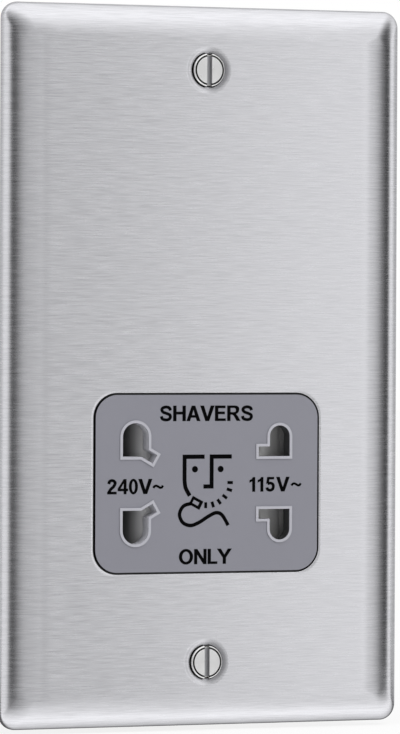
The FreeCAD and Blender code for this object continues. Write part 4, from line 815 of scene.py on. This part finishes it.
# Each letter: the width it takes, then its shapes, each an outline and the holes in it
LETTERS = {
    "S": (0.72, [bow((0.64, 0.69), (0.57, 0.85), (0.36, 0.915), (0.15, 0.84), (0.11, 0.7), (0.2, 0.58),
          (0.4, 0.5), (0.6, 0.4), (0.63, 0.25), (0.54, 0.12), (0.34, 0.085), (0.14, 0.15),
          (0.07, 0.32))]),
    "H": (0.79, [[[(0, 0), (0, 1), (0.21, 1), (0.21, 0.61), (0.58, 0.61), (0.58, 1), (0.79, 1), (0.79, 0),
          (0.58, 0), (0.58, 0.43), (0.21, 0.43), (0.21, 0)]]]),
    "A": (0.78, [[[(-0.05, 0), (0.28, 1), (0.5, 1), (0.83, 0), (0.6, 0), (0.535, 0.22), (0.245, 0.22),
          (0.18, 0)], [(0.3, 0.39), (0.48, 0.39), (0.39, 0.72)]]]),
    "V": (0.78, [VEE]),
    "E": (0.68, [[[(0, 0), (0, 1), (0.66, 1), (0.66, 0.83), (0.21, 0.83), (0.21, 0.61), (0.62, 0.61),
          (0.62, 0.44), (0.21, 0.44), (0.21, 0.17), (0.68, 0.17), (0.68, 0)]]]),
    "R": (0.8, [[[(0, 0), (0, 1), (0.46, 1), (0.63, 0.975), (0.73, 0.89), (0.76, 0.76), (0.73, 0.6),
          (0.65, 0.5), (0.55, 0.45), (0.66, 0.33), (0.84, 0), (0.6, 0), (0.42, 0.32), (0.34, 0.4),
          (0.21, 0.415), (0.21, 0)], [(0.21, 0.84), (0.43, 0.84), (0.52, 0.81), (0.55, 0.71), (0.52, 0.6),
          (0.43, 0.57), (0.21, 0.57)]]]),
    "O": (0.9, [oval(0.9, 0.21)]),
    "N": (0.79, [[[(0, 0), (0, 1), (0.205, 1), (0.59, 0.37), (0.59, 1), (0.79, 1), (0.79, 0), (0.585, 0),
          (0.2, 0.63), (0.2, 0)]]]),
    "L": (0.62, [[[(0, 0), (0, 1), (0.21, 1), (0.21, 0.17), (0.62, 0.17), (0.62, 0)]]]),
    "Y": (0.76, [[[(-0.1, 1), (0.16, 1), (0.38, 0.61), (0.6, 1), (0.86, 1), (0.485, 0.41), (0.485, 0),
          (0.275, 0), (0.275, 0.41)]]]),
    "0": (0.58, [oval(0.58)]),
    "1": (0.4, [[[(0.38, 0), (0.38, 1), (0.23, 1), (0.15, 0.87), (0, 0.79), (0, 0.61), (0.18, 0.71),
          (0.18, 0)]]]),
    "2": (0.6, [bow((0.1, 0.68), (0.16, 0.85), (0.31, 0.91), (0.46, 0.84), (0.5, 0.7), (0.4, 0.5),
          (0.22, 0.32), (0.1, 0.1)), [[(0, 0), (0, 0.17), (0.6, 0.17), (0.6, 0)]]]),
    "4": (0.62, [[[(0.37, 0), (0.37, 0.2), (-0.01, 0.2), (-0.01, 0.37), (0.37, 1), (0.55, 1),
          (0.55, 0.37), (0.65, 0.37), (0.65, 0.2), (0.55, 0.2), (0.55, 0)], [(0.37, 0.37), (0.37, 0.72),
          (0.17, 0.37)]]]),
    "5": (0.6, [[[(0.09, 1), (0.55, 1), (0.55, 0.83), (0.24, 0.83), (0.2, 0.58), (0.02, 0.53)]],
          bow((0.12, 0.53), (0.31, 0.58), (0.46, 0.5), (0.5, 0.33), (0.44, 0.16), (0.28, 0.09),
          (0.13, 0.14), (0.07, 0.28))]),
    "~": (0.68, [[stroke(smooth_line([(0.04, 0.4), (0.12, 0.5), (0.23, 0.54), (0.36, 0.48), (0.48, 0.41),
          (0.58, 0.43), (0.66, 0.55)], 6), 0.15)]]),
}
# A set letter is this much wider than its shape
WIDEN = 1.11


def word(text, x_span, z_span):
    """Sets a word between these places about the socket's centre, in millimetres."""
    cap = z_span[1] - z_span[0]
    taken = sum(LETTERS[letter][0] for letter in text) * cap * WIDEN
    gap = (x_span[1] - x_span[0] - taken) / (len(text) - 1)
    x = x_span[0]
    for letter in text:
        width, shapes = LETTERS[letter]
        for outlines in shapes:
            ink_solid([np.asarray(outline) * [cap * WIDEN, cap] + [x, z_span[0]] for outline in outlines])
        x += width * WIDEN * cap + gap
    return gap

# %% Words and ratings
gaps = [word("SHAVERS", (-10.35, 9.9), (12.65, 15.8)), word("ONLY", (-6.15, 5.1), (-16.5, -13.4)),
        word("240V~", (-21.75, -9.6), (-2.1, 0.97)), word("115V~", (9.25, 20.65), (-1.85, 1.15))]
print("gaps between letters in mm:", [round(gap, 2) for gap in gaps])
print_marks = to_object("printed_marks", marks, 30)
print_marks.data.materials.append(ink)
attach(print_marks, "housing")
print("printed marks faces:", len(print_marks.data.polygons))

# %% [markdown]
# ## Studio
# A shiny plate is mostly a picture of the room, so the room was worked out from the plate's own light
# and dark. Its walls are grey. A narrow bright stretch stands 22 to 26 degrees to the right, behind a
# dark gap at 20 degrees. Two walls that are almost black, 36 to 54 degrees to the left and 54 to 75 to
# the right, draw the grey lines along the plate's rolled sides. The ceiling and the floor's glow are
# brighter, each by its own height. The room is the world's colour by direction: an angle round the
# upright axis, and a height. The camera itself sees plain white.

# %% Room
world = bpy.data.worlds.new("studio_room")
bpy.context.scene.world = world
world.use_nodes = True
tree = world.node_tree
tree.nodes.clear()
gaze = node(tree, "SeparateXYZ", {"Vector": node(tree, "TexCoord").outputs["Generated"]}).outputs
# Bearing in degrees from the wall's normal, right is positive, with the wall's brightness there
bearing = calc(tree, "ARCTAN2", gaze["X"], calc(tree, "MULTIPLY", gaze["Y"], -1.0))
WALLS = [
    (-180, 0.5), (-100, 0.73), (-90, 0.84), (-72, 0.93), (-63, 1.03), (-57, 0.95), (-54, 0.55), (-50, 0.07),
    (-43, 0.03), (-36, 0.13), (-28, 0.34), (-20, 0.48), (-10, 0.58), (10, 0.65), (15, 0.74), (18, 0.53),
    (20, 0.11), (21.6, 0.7), (23, 1.72), (25, 1.28), (28, 0.67), (31, 0.83), (38, 0.66), (46, 0.45),
    (54, 0.2), (62, 0.08), (70, 0.03), (75, 0.05), (80, 1.0), (90, 1.17), (100, 0.54), (180, 0.75),
]
# Elevation in degrees, with the brightness of the floor's glow below and of the ceiling above
elevation = calc(tree, "ARCSINE", gaze["Z"])
CEILING = [
    (-90, 0.2), (-80, 0.4), (-66, 1.0), (-50, 1.4), (-38, 1.07), (-26, 0.8), (20, 0.95), (38, 1.16),
    (50, 1.42), (66, 1.36), (78, 1.1), (90, 0.6),
]
steep = calc(tree, "ABSOLUTE", gaze["Z"])
share = ramp(tree, steep, 0.25, 0.75, interpolation_type="SMOOTHSTEP")
DEGREE = math.radians(1)
mixed = tint(tree, share, levels_by(tree, bearing, WALLS, 360, DEGREE),
             levels_by(tree, elevation, CEILING, 180, DEGREE))
# High up behind the wall plate the ceiling ends, which draws a thin grey line along the plate's top
ended = calc(tree, "MULTIPLY", ramp(tree, gaze["Y"], -0.15, 0.4), ramp(tree, gaze["Z"], 0.2, 0.6))
whole_room = tint(tree, ended, mixed, (0.6, 0.6, 0.6, 1))
room = node(tree, "Background", {"Color": whole_room, "Strength": 1.0})
white = node(tree, "Background", {"Color": (1, 1, 1, 1), "Strength": 1.0})
seen = node(tree, "LightPath").outputs
shown = node(tree, "MixShader", {0: seen["Is Camera Ray"], 1: room.outputs[0], 2: white.outputs[0]})
node(tree, "OutputWorld", {"Surface": shown.outputs[0]})
print("bearings in the room:", len(WALLS))

# %% [markdown]
# ## Floor and lamp
# The floor is a plain pale sheet 1 mm under the unit. It is white to the camera except for the soft
# shadow. One square lamp of 0.6 m, above and to the right of the camera, gives the screws and lips
# their shading. The steel mirrors the room and a narrow strip of the floor, and not the lamp.

# %% Floor and lamp
FLOOR_REACH, FLOOR_GAP = 3.0, 0.001
level = cad_box[0].z - FLOOR_GAP
corners = [(x * FLOOR_REACH, y * FLOOR_REACH, level) for x, y in ((-1, -1), (1, -1), (1, 1), (-1, 1))]
floor_mesh = bpy.data.meshes.new("floor")
floor_mesh.from_pydata(corners, [], [(0, 1, 2, 3)])
floor = bpy.data.objects.new("floor", floor_mesh)
bpy.context.scene.collection.objects.link(floor)
paper, tree, shader = new_finish("white_paper_floor", "#F4F4F4", 0.0, 0.9, 1.5)
fibre = grain(tree, (1.5, 1.5, 1.5), 2.0)
join(tree, shader, Base_Color=tint(tree, fibre, "#F6F6F6", "#F1F1F1"))
# To the camera the sheet is mostly white of its own, and the rest of it takes the shadow
OWN_WHITE = 0.82
glow = node(tree, "Emission", {"Color": (1, 1, 1, 1), "Strength": 1.0})
seen = node(tree, "LightPath").outputs
lit = calc(tree, "MULTIPLY", seen["Is Camera Ray"], OWN_WHITE)
sheet = node(tree, "MixShader", {0: lit, 1: shader.outputs[0], 2: glow.outputs[0]})
# What the steel mirrors: a painted shadow under the unit and a painted bright strip in front of it, which
# glow only to mirrored rays. Farther out the floor is clear to mirrored rays, so that the steel shows the
# room's own white and grey there.
front = place_on(tree)["Y"]
SHEET_LEVELS = [(-20, 0.05), (0, 0.12), (2, 0.9), (4, 1.4), (7, 1.1), (12, 0.92), (20, 0.86)]
STRIP_Y, STRIP_ENDS, CLEAR_FROM = -4, 8, 24
mirrored = node(tree, "Emission", {"Color": levels_by(tree, front, SHEET_LEVELS, 40, -MM), "Strength": 1.0})
polished = calc(tree, "MAXIMUM", seen["Is Glossy Ray"], seen["Is Transmission Ray"])
away = calc(tree, "ABSOLUTE", calc(tree, "SUBTRACT", front, STRIP_Y * MM))
far = ramp(tree, away, STRIP_ENDS * MM, CLEAR_FROM * MM, interpolation_type="SMOOTHSTEP")
clear = node(tree, "BsdfTransparent")
in_steel = node(tree, "MixShader", {0: far, 1: mirrored.outputs[0], 2: clear.outputs[0]})
whole = node(tree, "MixShader", {0: polished, 1: sheet.outputs[0], 2: in_steel.outputs[0]})
tree.links.new(whole.outputs[0], tree.nodes["Material Output"].inputs["Surface"])
floor_mesh.materials.append(paper)


def soft_lamp(name, place, size, power):
    """A square area lamp that faces the plate."""
    lamp = bpy.data.lights.new(name, "AREA")
    lamp.size = size
    lamp.energy = power
    holder = bpy.data.objects.new(name, lamp)
    bpy.context.scene.collection.objects.link(holder)
    holder.location = place
    holder.rotation_euler = (-Vector(place)).to_track_quat("-Z", "Y").to_euler()
    return holder


key = soft_lamp("soft_key", (0.5, -0.7, 0.9), 0.6, 4.5)
# The room already holds the bright ceiling that the steel mirrors, so the lamp adds no second one
key.visible_glossy = False
